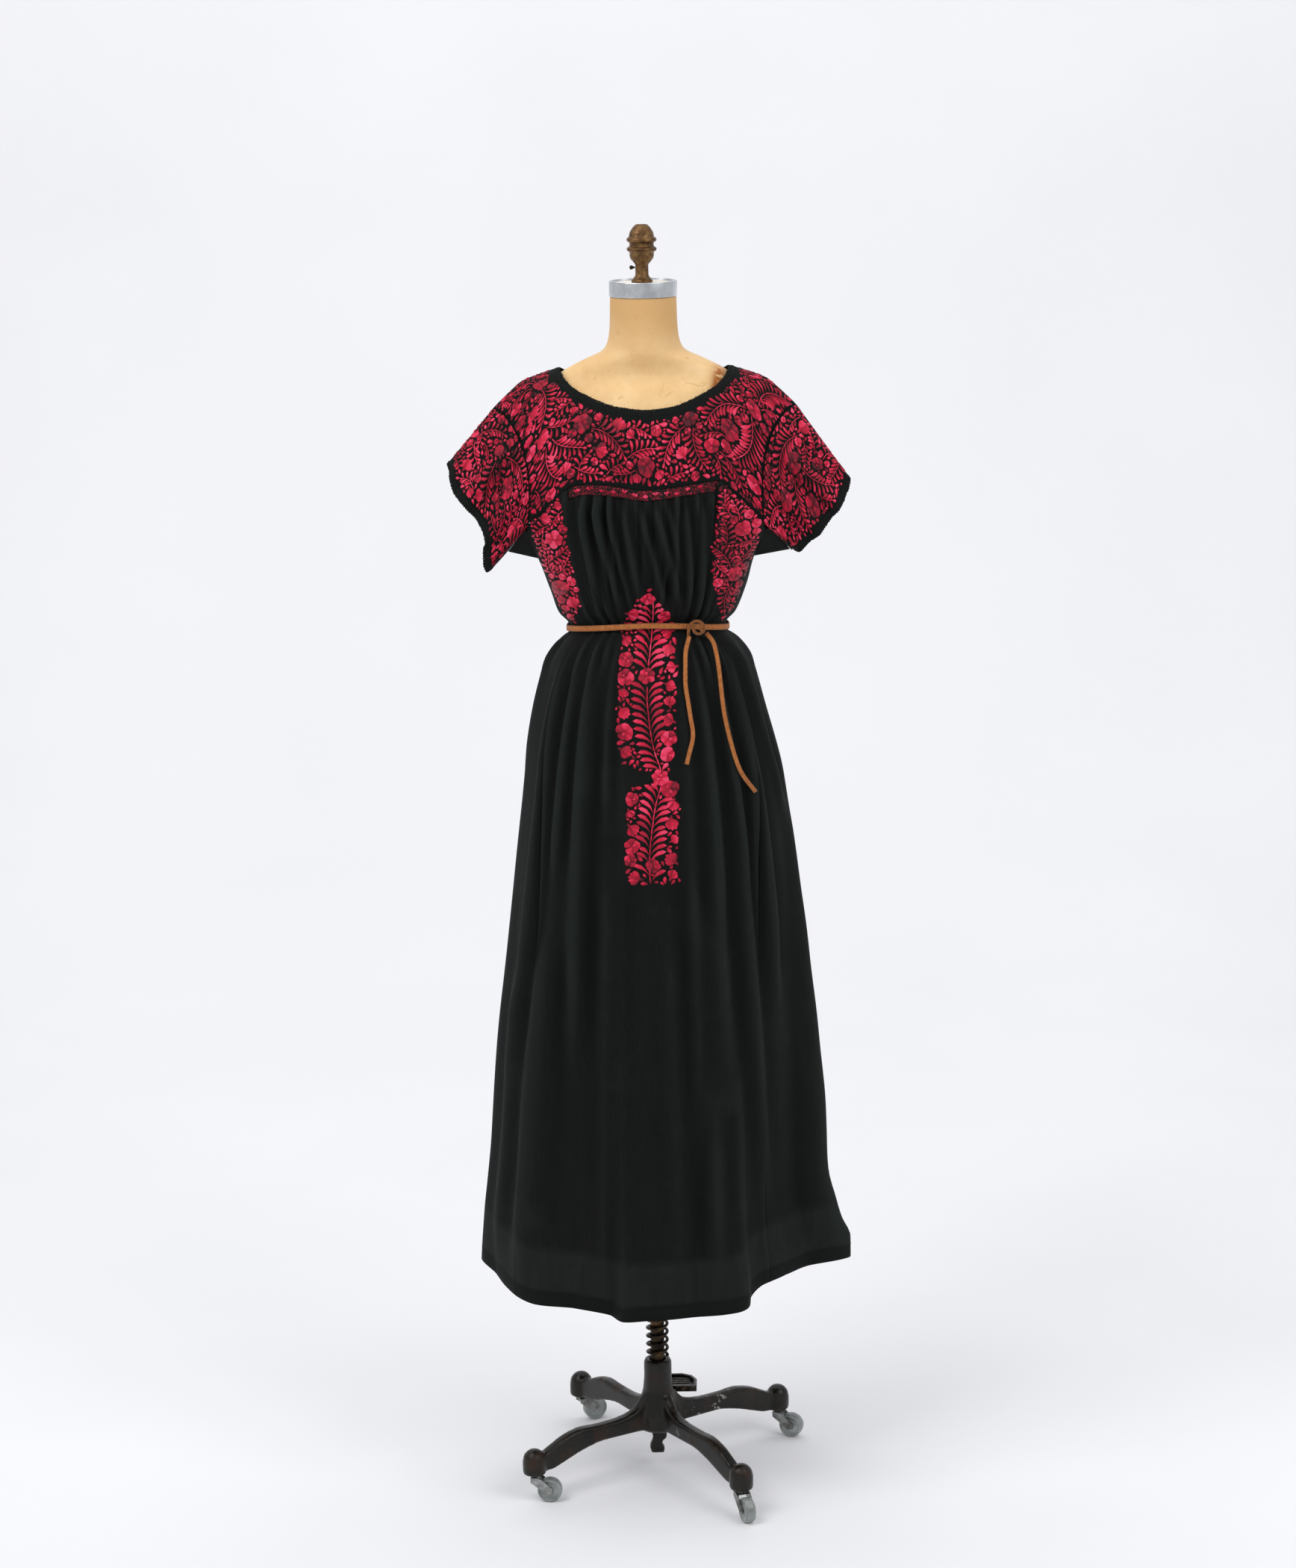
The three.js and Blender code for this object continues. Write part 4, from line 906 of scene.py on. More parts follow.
def ground_finish(colour):
    """The same cotton under dense embroidery, puckered every 6 mm where the thread pulls it."""
    f = Finish("puckered_black_cotton", colour, 0.82, Specular_IOR_Level=0.14)
    worn = f.node("steps", f.node("noise", f.place, 16.67, 3, 0.6), stops=(
        (0.35, "#0a0d0c"), (0.65, colour)))
    return f.done(worn, [(f.node("noise", f.place, 5.882, 3, 0.6), 0.5, 0.0012), weave(f)])


def silk_finish(dark, light):
    """Satin-stitched silk, crimson to rose: its strands shine along each leaf."""
    f = Finish("crimson_embroidery_silk", dark, 0.42, Specular_IOR_Level=0.22)
    # Strands every 0.56 mm, twice as coarse as the real ones, so that they show.
    strands = f.node("threads", f.flat, 0.561, 0.6, 2.0, bands_direction="X")
    mottling = f.node("span", f.node("noise", f.place, 4.348, 2, 0.6), 0.3, 0.7, -0.1, 0.1)
    tone = f.node("plus", f.node("attribute", attribute_name="shade"), mottling)
    tone = f.node("plus", tone, f.node("span", strands, 0, 1, -0.06, 0.06))
    colour = f.node("steps", tone, stops=(
        (0.05, "#4a0415"), (0.35, dark), (0.6, "#bb0e32"), (0.85, light), (1.0, "#e8466a")))
    loose = f.node("noise", f.place, 2.381, 2, 0.6)
    return f.done(colour, [(strands, 0.55, 0.0002), (loose, 0.35, 0.0004)],
                  f.node("span", strands, 0, 1, 0.36, 0.55))


def crochet_finish():
    """Twisted cotton thread, crocheted: dull black with a fuzz of 0.7 mm."""
    f = Finish("black_crochet_cotton", "#0b0e0d", 0.8, Specular_IOR_Level=0.18)
    colour = f.node("steps", f.node("noise", f.place, 1.667, 2, 0.6), stops=(
        (0.3, "#060807"), (0.7, "#131715")))
    return f.done(colour, [(f.node("noise", f.place, 0.7143, 3, 0.6), 0.8, 0.0004)])


def smocking_finish(dark):
    """Cotton gathered into cells of 2.4 mm by crimson stitches, which show as specks."""
    f = Finish("smocked_cotton", "#101312", 0.8, Specular_IOR_Level=0.18)
    cells = f.node("cells", f.flat, 2.381)
    specks = f.node("span", f.node("noise", f.flat, 1.111, 2, 0.6), 0.5, 0.58)
    patches = f.node("span", f.node("noise", f.flat, 6.25, 2, 0.6), 0.46, 0.56)
    # Painted shade darkens the cells' hollows, where the bump is lowest.
    plain = f.node("steps", cells, stops=((0.1, "#080a09"), (0.7, "#151918")))
    return f.done(f.node("blend", f.node("times", specks, patches), plain, dark),
                  [(cells, 0.8, 0.0008)])


def suede_finish(colour):
    """Cut and brushed suede lace: a soft nap of 4 mm patches, and darker cut edges."""
    f = Finish("brown_suede", colour, 0.92, Sheen_Weight=0.15, Sheen_Roughness=0.4)
    napped = f.node("steps", f.node("noise", f.place, 4.167, 5, 0.7), stops=(
        (0.25, "#7d461c"), (0.5, colour), (0.75, "#ba763e")))
    cut = f.node("span", f.node("attribute", attribute_name="edge"), 0.6, 1.0, 0, 0.7)
    fibres = f.node("noise", f.place, 0.7692, 4, 0.7)
    return f.done(f.node("blend", cut, napped, "#54300f"), [(fibres, 0.6, 0.0004)])


def form_finish(colour):
    """Linen pasted over papier-mache and aged: mottled, spotted, finely cracked and stained."""
    f = Finish("aged_tan_linen", colour, 0.62, Specular_IOR_Level=0.35)
    mottled = f.node("steps", f.node("noise", f.place, 71.43, 6, 0.65), stops=(
        (0.3, "#dcb27a"), (0.5, colour), (0.7, "#f0cf9c")))
    spots = f.node("span", f.node("noise", f.place, 11.76, 4, 0.6), 0.62, 0.72, 0, 0.5)
    spotted = f.node("blend", spots, mottled, "#c99a5e")
    # Cracks 62 mm apart, drawn wider than they are so that they show.
    crack = f.node("cracks", f.node("stretch", f.place, (1, 1, 0.35)), 62.5)
    broken = f.node("span", f.node("noise", f.place, 55.56, 2, 0.6), 0.52, 0.66)
    thin = f.node("times", f.node("span", crack, 0.0, 0.012, 1, 0), broken)
    # Painted shade darkens the neck.
    neck_shade_mask = f.node("span", f.node("height", f.place), 1.585, 1.665, 0, 0.75)
    neck_shaded = f.node("blend", neck_shade_mask, spotted, "#c89a60")
    cracked = f.node("blend", f.node("times", thin, 0.55), neck_shaded, "#a87440")
    ragged = f.node("span", f.node("noise", f.place, 13.33, 5, 0.7), 0.36, 0.5)
    stain = f.node("times", f.node("attribute", attribute_name="stain"), ragged)
    dents, grain = f.node("noise", f.place, 41.67, 4, 0.6), f.node("noise", f.place, 1.111, 2, 0.6)
    return f.done(f.node("blend", stain, cracked, "#a25c1e"),
                  [(dents, 0.35, 0.0022), (grain, 0.25, 0.0002), (thin, 0.5, -0.0006)],
                  f.node("span", f.node("noise", f.place, 25, 3, 0.6), 0.3, 0.7, 0.5, 0.72))


def bright_ring_finish():
    """Rolled aluminium band, brushed round its turn, which spreads its highlights sideways."""
    f = Finish("bright_aluminium", "#d6d9dc", 0.28, 1.0)
    brushed = f.node("noise", f.node("stretch", f.place, (1, 1, 26)), 3.333, 3, 0.6)
    colour = f.node("steps", f.node("noise", f.place, 33.33, 4, 0.6), stops=(
        (0.35, "#b9bdc1"), (0.65, "#e2e5e8")))
    return f.done(colour, [(brushed, 0.12, 0.0003)], f.node("span", brushed, 0.3, 0.7, 0.2, 0.42))


def card_finish():
    """Pressed cream card: matt and a little fibrous."""
    f = Finish("cream_card", "#e9dcc0", 0.75)
    colour = f.node("steps", f.node("noise", f.place, 14.29, 4, 0.6), stops=(
        (0.35, "#d6c49f"), (0.65, "#eee4cb")))
    return f.done(colour, [(f.node("noise", f.place, 1.667, 3, 0.6), 0.3, 0.0003)])


def bronze_finish():
    """Turned finial in old bronze lacquer, worn to patches of 8 mm."""
    f = Finish("old_bronze_lacquer", "#6b4f2c", 0.38, 0.75)
    colour = f.node("steps", f.node("noise", f.place, 8.333, 5, 0.6), stops=(
        (0.3, "#3f2c19"), (0.52, "#6f5130"), (0.75, "#9a7a4c")))
    return f.done(colour, [(f.node("noise", f.place, 3.846, 4, 0.6), 0.25, 0.0004)],
                  f.node("span", f.node("noise", f.place, 11.11, 3, 0.6), 0.3, 0.7, 0.3, 0.55))


def iron_finish():
    """Sand-cast iron in worn black-brown paint: rust in patches, bare edges, pale chips."""
    f = Finish("worn_painted_iron", "#12110d", 0.34, 0.0, Specular_IOR_Level=0.3)
    paint = f.node("steps", f.node("noise", f.place, 38.46, 6, 0.65), stops=(
        (0.3, "#090806"), (0.55, "#15120c"), (0.75, "#271f14")))
    rust = f.node("span", f.node("noise", f.place, 41.67, 7, 0.75), 0.53, 0.7, 0, 0.7)
    rusted = f.node("blend", rust, paint, "#402413")
    scuffs = f.node("span", f.node("noise", f.place, 8.333, 4, 0.6), 0.45, 0.6)
    worn = f.node("times", f.node("span", f.node("edges"), 0.52, 0.6), scuffs)
    rubbed = f.node("blend", f.node("times", worn, 0.6), rusted, "#6a5a4c")
    flakes = f.node("span", f.node("noise", f.place, 13.33, 5, 0.75), 0.6, 0.63)
    chips = f.node("times", flakes, f.node("attribute", attribute_name="chips"))
    sand, waves = f.node("noise", f.place, 5.556, 5, 0.6), f.node("noise", f.place, 45.45, 3, 0.6)
    return f.done(f.node("blend", f.node("times", chips, 0.9), rubbed, "#b9b4ab"),
                  [(sand, 0.3, 0.0005), (waves, 0.3, 0.002)],
                  f.node("span", rust, 0, 0.7, 0.3, 0.75))


def spring_finish():
    """Drawn spring steel, oiled and dark, with brassy and rusty tints."""
    f = Finish("oiled_spring_steel", "#3d342a", 0.42, 0.85)
    colour = f.node("steps", f.node("noise", f.place, 14.29, 5, 0.6), stops=(
        (0.35, "#171310"), (0.56, "#3a2f22"), (0.74, "#74552e")))
    return f.done(colour, [(f.node("noise", f.place, 3.333, 3, 0.6), 0.3, 0.0003)])


def plated_finish():
    """Pressed steel with zinc plate, dulled and spotted grey."""
    f = Finish("dulled_zinc_plate", "#9a9c9b", 0.34, 0.95)
    colour = f.node("steps", f.node("noise", f.place, 16.67, 3, 0.6), stops=(
        (0.3, "#4c4a45"), (0.5, "#7f807d"), (0.7, "#a9acab")))
    return f.done(colour, [(f.node("noise", f.place, 2.5, 3, 0.6), 0.2, 0.0002)],
                  f.node("span", f.node("noise", f.place, 4.545, 3, 0.6), 0.3, 0.7, 0.2, 0.45))


def wheel_finish():
    """Moulded grey plastic that lets some light through, scuffed on the tread."""
    f = Finish("smoky_clear_plastic", "#b4bab8", 0.22, 0.0, Transmission_Weight=0.55, IOR=1.46)
    colour = f.node("steps", f.node("noise", f.place, 25, 2, 0.6), stops=(
        (0.3, "#8a918e"), (0.65, "#b4bab7")))
    return f.done(colour, [(f.node("noise", f.place, 1.429, 3, 0.6), 0.15, 0.0002)],
                  f.node("span", f.node("noise", f.place, 16.67, 3, 0.6), 0.35, 0.7, 0.14, 0.3))


def backdrop_finish(colour):
    """Matt white paint, clear from behind, so that the back of the dress can be looked at."""
    f = Finish("matt_white_paint", colour, 0.95, Specular_IOR_Level=0.1)
    cloudy = f.node("steps", f.node("noise", f.place, 666.7, 2, 0.6), stops=(
        (0.3, colour), (0.7, "#f1f1f3")))
    return f.done(cloudy, alpha=f.node("minus", 1.0, f.node("behind")))


# ---- embroidery --------------------------------------------------------------
CELL = 0.5
STATIONS = (0.0, 0.16, 0.38, 0.62, 0.84, 1.0)
LINES = ("spine", "left", "right")


def leaf(start, heading, length, width, bend=0.0, shade=0.5, full=0.8, height=0.55):
    """One satin-stitched leaf or petal in flat millimetres, curved to one side."""
    t = np.array(STATIONS)
    angle = heading + bend * t
    step = np.diff(t) * length
    middle = np.concatenate([[0], (t[1:] + t[:-1]) / 2])
    turn = heading + bend * middle[1:]
    spine = np.array(start, float) + np.concatenate([
        [[0, 0]], np.cumsum(np.stack([np.cos(turn) * step, np.sin(turn) * step], -1), axis=0)
    ])
    half = width / 2 * np.sin(math.pi * t ** full) ** 0.75
    side = np.stack([-np.sin(angle), np.cos(angle)], -1)
    left, right = spine + side * half[:, None], spine - side * half[:, None]
    return {
        "spine": spine, "left": left, "right": right, "half": half, "run": t * length,
        "shade": shade, "height": height,
    }


def bloom(rng, radius, petals, shade):
    """Solid round flower of broad, overlapping petals with a brighter heart."""
    parts = []
    first = rng.uniform(0, 2 * math.pi)
    for k in range(petals):
        turn = first + 2 * math.pi * k / petals + rng.uniform(-0.12, 0.12)
        parts.append(leaf(
            (0, 0), turn, radius * rng.uniform(0.85, 1.15), radius * rng.uniform(5.0, 6.2) / petals,
            rng.uniform(-0.4, 0.4), shade + rng.uniform(-0.26, 0.26), 1.7, 0.9,
        ))
    for k in range(2):
        turn = first + math.pi * (k + rng.uniform(-0.2, 0.2))
        parts.append(leaf(
            (0, 0), turn, radius * 0.5, radius * 0.52, 0.3, shade + rng.uniform(0.1, 0.35), 1.3, 1.2,
        ))
    return parts


def carnation(rng, radius, shade):
    """Fan of petals seen from the side, over a small cup."""
    parts = []
    start = (-radius * 0.8, 0)
    for turn in np.linspace(-1.0, 1.0, 5):
        parts.append(leaf(
            start, turn * 0.75, radius * (1.7 - 0.3 * abs(turn)) * rng.uniform(0.92, 1.06),
            radius * 0.72, -turn * 0.25, shade + rng.uniform(-0.12, 0.22), 1.6, 0.8,
        ))
    parts.append(leaf((-radius * 1.25, 0), 0, radius * 0.7, radius * 0.4, 0, shade - 0.2, 0.9, 0.8))
    return parts


def comma(start, heading, side, length, shade):
    """Leaf with a thin stalk and a round end, which arches away from the stem."""
    return leaf(start, heading + side * 0.45, length, 2.9 + 0.08 * length, side * 0.95, shade, 2.2, 0.7)


def fern(rng, length, shade, bend):
    """Curved stem from the origin with paired comma leaves and a bud at its tip."""
    count = max(3, int(length / 7.4))
    step = length / (count + 1)
    parts, here = [], np.zeros(2)
    for k in range(count + 1):
        heading = bend * (k / count - 0.5)
        parts.append(leaf(here, heading, step * 1.2, 1.15, bend / count, shade + 0.2, 0.8, 0.45))
        here = here + step * np.array([math.cos(heading), math.sin(heading)])
        if k < count:
            for side in (1, -1):
                size = (6.5 + 0.2 * length) * (1.1 - 0.5 * k / count) * rng.uniform(0.85, 1.1)
                parts.append(comma(here, heading, side, size, shade + rng.uniform(-0.15, 0.2)))
    parts.append(leaf(here, bend / 2, 6.5, 3.8, 0, shade + 0.2, 1.3, 0.7))
    return parts


def turned(parts, turn):
    """The same leaves turned about the middle of their flat sheet."""
    c, s = math.cos(turn), math.sin(turn)
    spin = np.array([[c, s], [-s, c]])
    return [{**part, **{key: part[key] @ spin for key in LINES}} for part in parts]


def moved(part, by):
    """The same leaf at another place of the flat sheet."""
    return {**part, **{key: part[key] + by for key in LINES}}


def outline(part):
    return np.concatenate([part["left"], part["right"][-2:0:-1]])


def stamp(parts, margin=0.5):
    """Cells that a motif covers, with a margin, and the offset of their corner."""
    corners = np.concatenate([outline(part) for part in parts])
    low = np.floor((corners.min(0) - margin) / CELL).astype(int)
    high = np.ceil((corners.max(0) + margin) / CELL).astype(int)
    x = (np.arange(low[0], high[0] + 1)) * CELL
    y = (np.arange(low[1], high[1] + 1)) * CELL
    gx, gy = np.meshgrid(x, y)
    covered = np.zeros(gx.shape, bool)
    for part in parts:
        ring = outline(part)
        middle = ring.mean(0)
        away = ring - middle
        grown = middle + away * (1 + margin / np.maximum(np.linalg.norm(away, axis=1), 0.3)[:, None])
        inside = np.zeros(gx.shape, bool)
        for a, b in zip(grown, np.roll(grown, -1, 0)):
            crosses = (a[1] > gy) != (b[1] > gy)
            with np.errstate(divide="ignore", invalid="ignore"):
                at = (b[0] - a[0]) * (gy - a[1]) / (b[1] - a[1]) + a[0]
            inside ^= crosses & (gx < at)
        covered |= inside
    return covered, low


class Ground:
    """A flat patch of cloth that motifs are set out on without touching."""

    def __init__(self, low, high, inside):
        self.low = np.array(low, float)
        self.shape = np.ceil((np.array(high, float) - self.low) / CELL).astype(int) + 1
        x = self.low[0] + np.arange(self.shape[0]) * CELL
        y = self.low[1] + np.arange(self.shape[1]) * CELL
        gx, gy = np.meshgrid(x, y)
        self.inside = inside(gx, gy)
        self.taken = ~self.inside
        self.parts = []

    def fits(self, covered, corner, allow=0.0):
        rows, columns = covered.shape
        i, j = corner
        if i < 0 or j < 0 or i + columns > self.shape[0] or j + rows > self.shape[1]:
            return False
        clash = np.count_nonzero(self.taken[j:j + rows, i:i + columns] & covered)
        return clash <= allow * covered.sum()

    def place(self, parts, where, allow=0.0, marks=None):
        """Sets a motif down if it is clear, and returns whether it was."""
        covered, low = marks or stamp(parts)
        i, j = np.round((np.asarray(where, float) - self.low) / CELL).astype(int) + low
        if not self.fits(covered, (i, j), allow):
            return False
        rows, columns = covered.shape
        self.taken[j:j + rows, i:i + columns] |= covered
        at = self.low + (np.array([i, j]) - low) * CELL
        self.parts += [moved(part, at) for part in parts]
        return True

    def fill(self, rng, kinds, tries, allow=0.0):
        """Tries motifs of the given kinds at random free places."""
        made = [kind if isinstance(kind[0], tuple) else all_ways(kind, 16) for kind in kinds]
        free = np.argwhere(~self.taken)
        if not len(free):
            return
        for j, i in free[rng.integers(0, len(free), tries)]:
            if self.taken[j, i]:
                continue
            kind = made[rng.integers(len(made))]
            parts, marks = kind[rng.integers(len(kind))]
            self.place(parts, self.low + np.array([i, j]) * CELL, allow, marks)


def all_ways(parts, ways=20):
    """A motif turned every way, each with the cells that it covers."""
    made = [turned(parts, k * 2 * math.pi / ways) for k in range(ways)]
    return [(motif, stamp(motif)) for motif in made]


def flower_ground(ground, seed, spread=50.0):
    """Blooms at even distances with ferns springing from them, and leaves between."""
    rng = np.random.default_rng(seed)
    ferns = [all_ways(fern(rng, length, rng.uniform(0.4, 0.6), bend)) for length, bend in (
        (74, 1.0), (70, -1.0), (56, 0.9), (52, -0.9), (40, 0.8), (36, -0.8), (26, 0.6)
    )]
    columns = int((ground.shape[0] * CELL) / spread) + 2
    rows = int((ground.shape[1] * CELL) / (spread * 0.85)) + 2
    hearts = []
    for j in range(rows):
        for i in range(columns):
            spot = ground.low + np.array([(i + 0.5 * (j % 2)) * spread, j * spread * 0.85])
            spot = spot + rng.uniform(-9, 9, 2)
            radius = rng.uniform(10.0, 14.0)
            flower = bloom(rng, radius, int(rng.integers(5, 7)), rng.uniform(0.2, 0.62))
            if rng.random() < 0.35:
                flower = turned(carnation(rng, radius * 0.8, 0.5), rng.uniform(0, 6.28))
            if ground.place(flower, spot, 0.04):
                hearts.append((spot, radius))
    for spot, radius in hearts:
        for k in rng.permutation(20)[:14]:
            turn = k * 2 * math.pi / 20
            start = spot + (radius + 1.0) * np.array([math.cos(turn), math.sin(turn)])
            for kind in ferns[rng.integers(0, 2)::2]:
                if ground.place(kind[k][0], start, 0.05, kind[k][1]):
                    break
    ground.fill(rng, ferns[4:], 1500, 0.06)
    medium = [bloom(rng, r, n, s) for r, n, s in (
        (9.0, 5, 0.35), (8.0, 5, 0.5), (7.0, 4, 0.7), (6.4, 5, 0.3)
    )]
    ground.fill(rng, medium + [carnation(rng, 7, 0.5)], 1600, 0.03)
    ground.fill(rng, [bloom(rng, r, 4, s) for r, s in ((5.0, 0.5), (4.4, 0.7))], 900, 0.0)
    for sizes, tries in (((13, 11, 9.5), 2600), ((8, 7, 6), 4200), ((5, 4.2), 5000)):
        leaves = [
            [leaf((-s / 2, 0), 0, s, 1.6 + 0.34 * s, bend, rng.uniform(0.2, 0.85), 1.5, 0.7)]
            for s in sizes for bend in (0.7, -0.7)
        ]
        ground.fill(rng, leaves, tries, 0.0)
    return ground


def stitched(name, ground, to_surface, finish, seed, lift=0.15):
    """Mesh of a patch's motifs, each leaf a low pillow on the cloth."""
    rng = np.random.default_rng(seed)
    flat, lifts, shades, uvs, faces = [], [], [], [], []
    start = 0
    n = len(STATIONS)
    for part in ground.parts:
        spine, left, right = part["spine"], part["left"][1:-1], part["right"][1:-1]
        centre = spine.mean(0)
        flat.append(np.concatenate([spine, left, right]))
        crown = part["height"] * np.minimum(1, part["half"] / 1.1) * rng.uniform(0.85, 1.15)
        lifts.append(np.concatenate([crown, np.zeros(2 * (n - 2))]))
        tone = 0.16 * math.sin(centre[0] * 0.045 + 1.7 * math.sin(centre[1] * 0.03 + seed))
        tone += rng.normal(0, 0.09)
        base = part["shade"] + tone
        along = part["run"] / max(part["run"][-1], 1e-6)
        inner = base + 0.42 * along - 0.16
        # Painted shade darkens each leaf's edges, between the petals.
        edge = inner[1:-1] - 0.24
        shades.append(np.concatenate([inner, edge, edge]))
        half = part["half"]
        uvs.append(np.concatenate([
            np.stack([np.zeros(n), part["run"]], -1),
            np.stack([half[1:-1], part["run"][1:-1]], -1),
            np.stack([-half[1:-1], part["run"][1:-1]], -1),
        ]))
        a, b = start + n, start + n + n - 2
        faces += [(start, start + 1, a), (start, b, start + 1)]
        for k in range(n - 3):
            faces += [(start + k + 1, start + k + 2, a + k + 1, a + k),
                      (start + k + 2, start + k + 1, b + k, b + k + 1)]
        faces += [(start + n - 2, start + n - 1, a + n - 3), (start + n - 1, start + n - 2, b + n - 3)]
        start += n + 2 * (n - 2)
    flat, lifts = np.concatenate(flat), np.concatenate(lifts)
    point, normal = to_surface(flat[:, 0], flat[:, 1])
    point = point + normal * (lifts[:, None] + lift + CLOTH / 2)
    obj = make_mesh(
        name, point, faces, finish, np.concatenate(uvs) * MM, {"shade": np.concatenate(shades)}
    )
    sample = obj.data.polygons[0]
    if np.dot(np.array(sample.normal), normal[sample.vertices[0]]) < 0:
        obj.data.flip_normals()
    return obj


def surface_with_normal(function, outward_of, step=0.6):
    """Wraps a map from flat millimetres so that it gives outward normals as well."""
    def mapped(x, y):
        here = function(x, y)
        right, up = function(x + step, y) - here, function(x, y + step) - here
        normal = np.cross(right, up)
        normal /= np.maximum(np.linalg.norm(normal, axis=-1, keepdims=True), 1e-9)
        toward = outward_of(here)
        sign = np.sign((normal * toward).sum(-1, keepdims=True))
        return here, normal * np.where(sign == 0, 1, sign)
    return mapped


YOKE_LENGTH = 205.0


def yoke_map(side):
    yoke = YOKES[side]

    def place(x, y):
        return yoke.point(x, np.clip(y / YOKE_LENGTH, 0, 1))
    return surface_with_normal(place, lambda p: np.stack([
        0.2 * np.sign(p[..., 0]), np.full(p.shape[:-1], -1.0 * yoke.side), np.full(p.shape[:-1], 1.0)
    ], -1))


def yoke_ground(side, seed):
    """Patch of the yoke inside its seams and clear of the neck opening."""
    def inside(x, y):
        share = y / YOKE_LENGTH
        edge = curve(ARMHOLE, np.clip(share, 0, 1)) - 0.3
        neck = curve(NECKLINES[side], np.abs(x)) * YOKE_LENGTH
        clear = np.where(np.abs(x) < NECK_HALF, neck + 3.5, 0)
        corner = (np.abs(x) > NECK_HALF - 6) & (np.abs(x) < NECK_HALF + 3) & (y < 50)
        return (np.abs(x) < edge) & (y > clear + 1.0) & ~corner & (share < 1 - 3.2 / YOKE_LENGTH)

    return flower_ground(Ground((-206, 0), (206, YOKE_LENGTH), inside), seed)


class SleeveCloth:
    """A sleeve laid flat: distance round it, and distance down from the armhole."""

    def __init__(self, side):
        self.side = side
        self.turns = np.linspace(-0.5, 0.5, 361)
        first, last = sleeve_point(side, 0.0, self.turns), sleeve_point(side, 1.0, self.turns)
        self.length = np.linalg.norm(last - first, axis=-1)
        ring = (first + last) / 2
        run = run_along(ring)
        self.around = run - np.interp(0, self.turns, run)

    def turn(self, x):
        return np.interp(x, self.around, self.turns)

    def point(self, x, y):
        t = self.turn(x)
        return sleeve_point(self.side, np.clip(y / np.interp(t, self.turns, self.length), 0.02, 1), t)

    def inside(self, x, y):
        t = self.turn(x)
        length = np.interp(t, self.turns, self.length)
        return (np.abs(t) < 0.425) & (y > 0.9) & (y < length - 2.0)


def sleeve_map(cloth):
    sign = SLEEVES[cloth.side][0]
    middle = sleeve_point(cloth.side, 0.5, np.arange(24) / 24).mean(0)
    return surface_with_normal(
        cloth.point, lambda p: (p - middle) * np.array([0.3, 1, 1]) + np.array([0.2 * sign, 0, 0])
    )


class FrontCloth:
    """The lower cloth seen flat: across and up, found from a table of its sections."""

    def __init__(self, back=False):
        self.back = back
        self.heights = np.arange(880, 1462, 2.0)
        phi = np.arange(-89, 89.1, 0.4)
        self.rows = [
            body_point(180 - phi if back else phi, np.full(phi.shape, z))[:, 0] for z in self.heights
        ]
        self.phi = phi

    def angle(self, x, z):
        """Angle from the front at which the cloth is at x on that level."""
        x, z = np.atleast_1d(x).astype(float), np.atleast_1d(z).astype(float)
        place = np.clip((z - self.heights[0]) / 2.0, 0, len(self.rows) - 1.001)
        low = place.astype(int)
        result = np.zeros_like(x)
        for k in np.unique(low):
            these = low == k
            share = place[these] - k
            pair = [
                np.interp(x[these], np.maximum.accumulate(self.rows[m]), self.phi) for m in (k, k + 1)
            ]
            result[these] = mix(pair[0], pair[1], share)
        return result

    def point(self, x, z):
        phi = self.angle(x, z)
        return body_point(180 - phi if self.back else phi, z)


def radial(p):
    return np.stack([p[..., 0], p[..., 1], np.zeros(p.shape[:-1])], -1)


# Height, left and right edge of the two flowered panels that join at a single bloom.
CENTRE = [
    (906, -33, 37), (912, -35, 39), (960, -36, 41), (1030, -34, 42), (1042, -26, 36),
    (1049, 2, 27), (1058, 0, 28), (1066, -30, 30), (1072, -41, 35), (1136, -45, 38),
    (1190, -42, 41), (1240, -37, 38), (1268, -31, 31), (1287, -20, 20), (1303, -6, 9),
]
# Height, place across and size of the blooms on the stem.
ON_STEM = [(1291, 1, 9.5), (1189, -2, 11), (1053, 14, 11), (934, 3, 10.5)]


def stem_place(z):
    """Where the wandering stem runs at a height."""
    return 3 + 5 * math.sin((z - 1189) * 0.027 - 0.9) + 9 * math.exp(-(((z - 1053) / 26) ** 2))


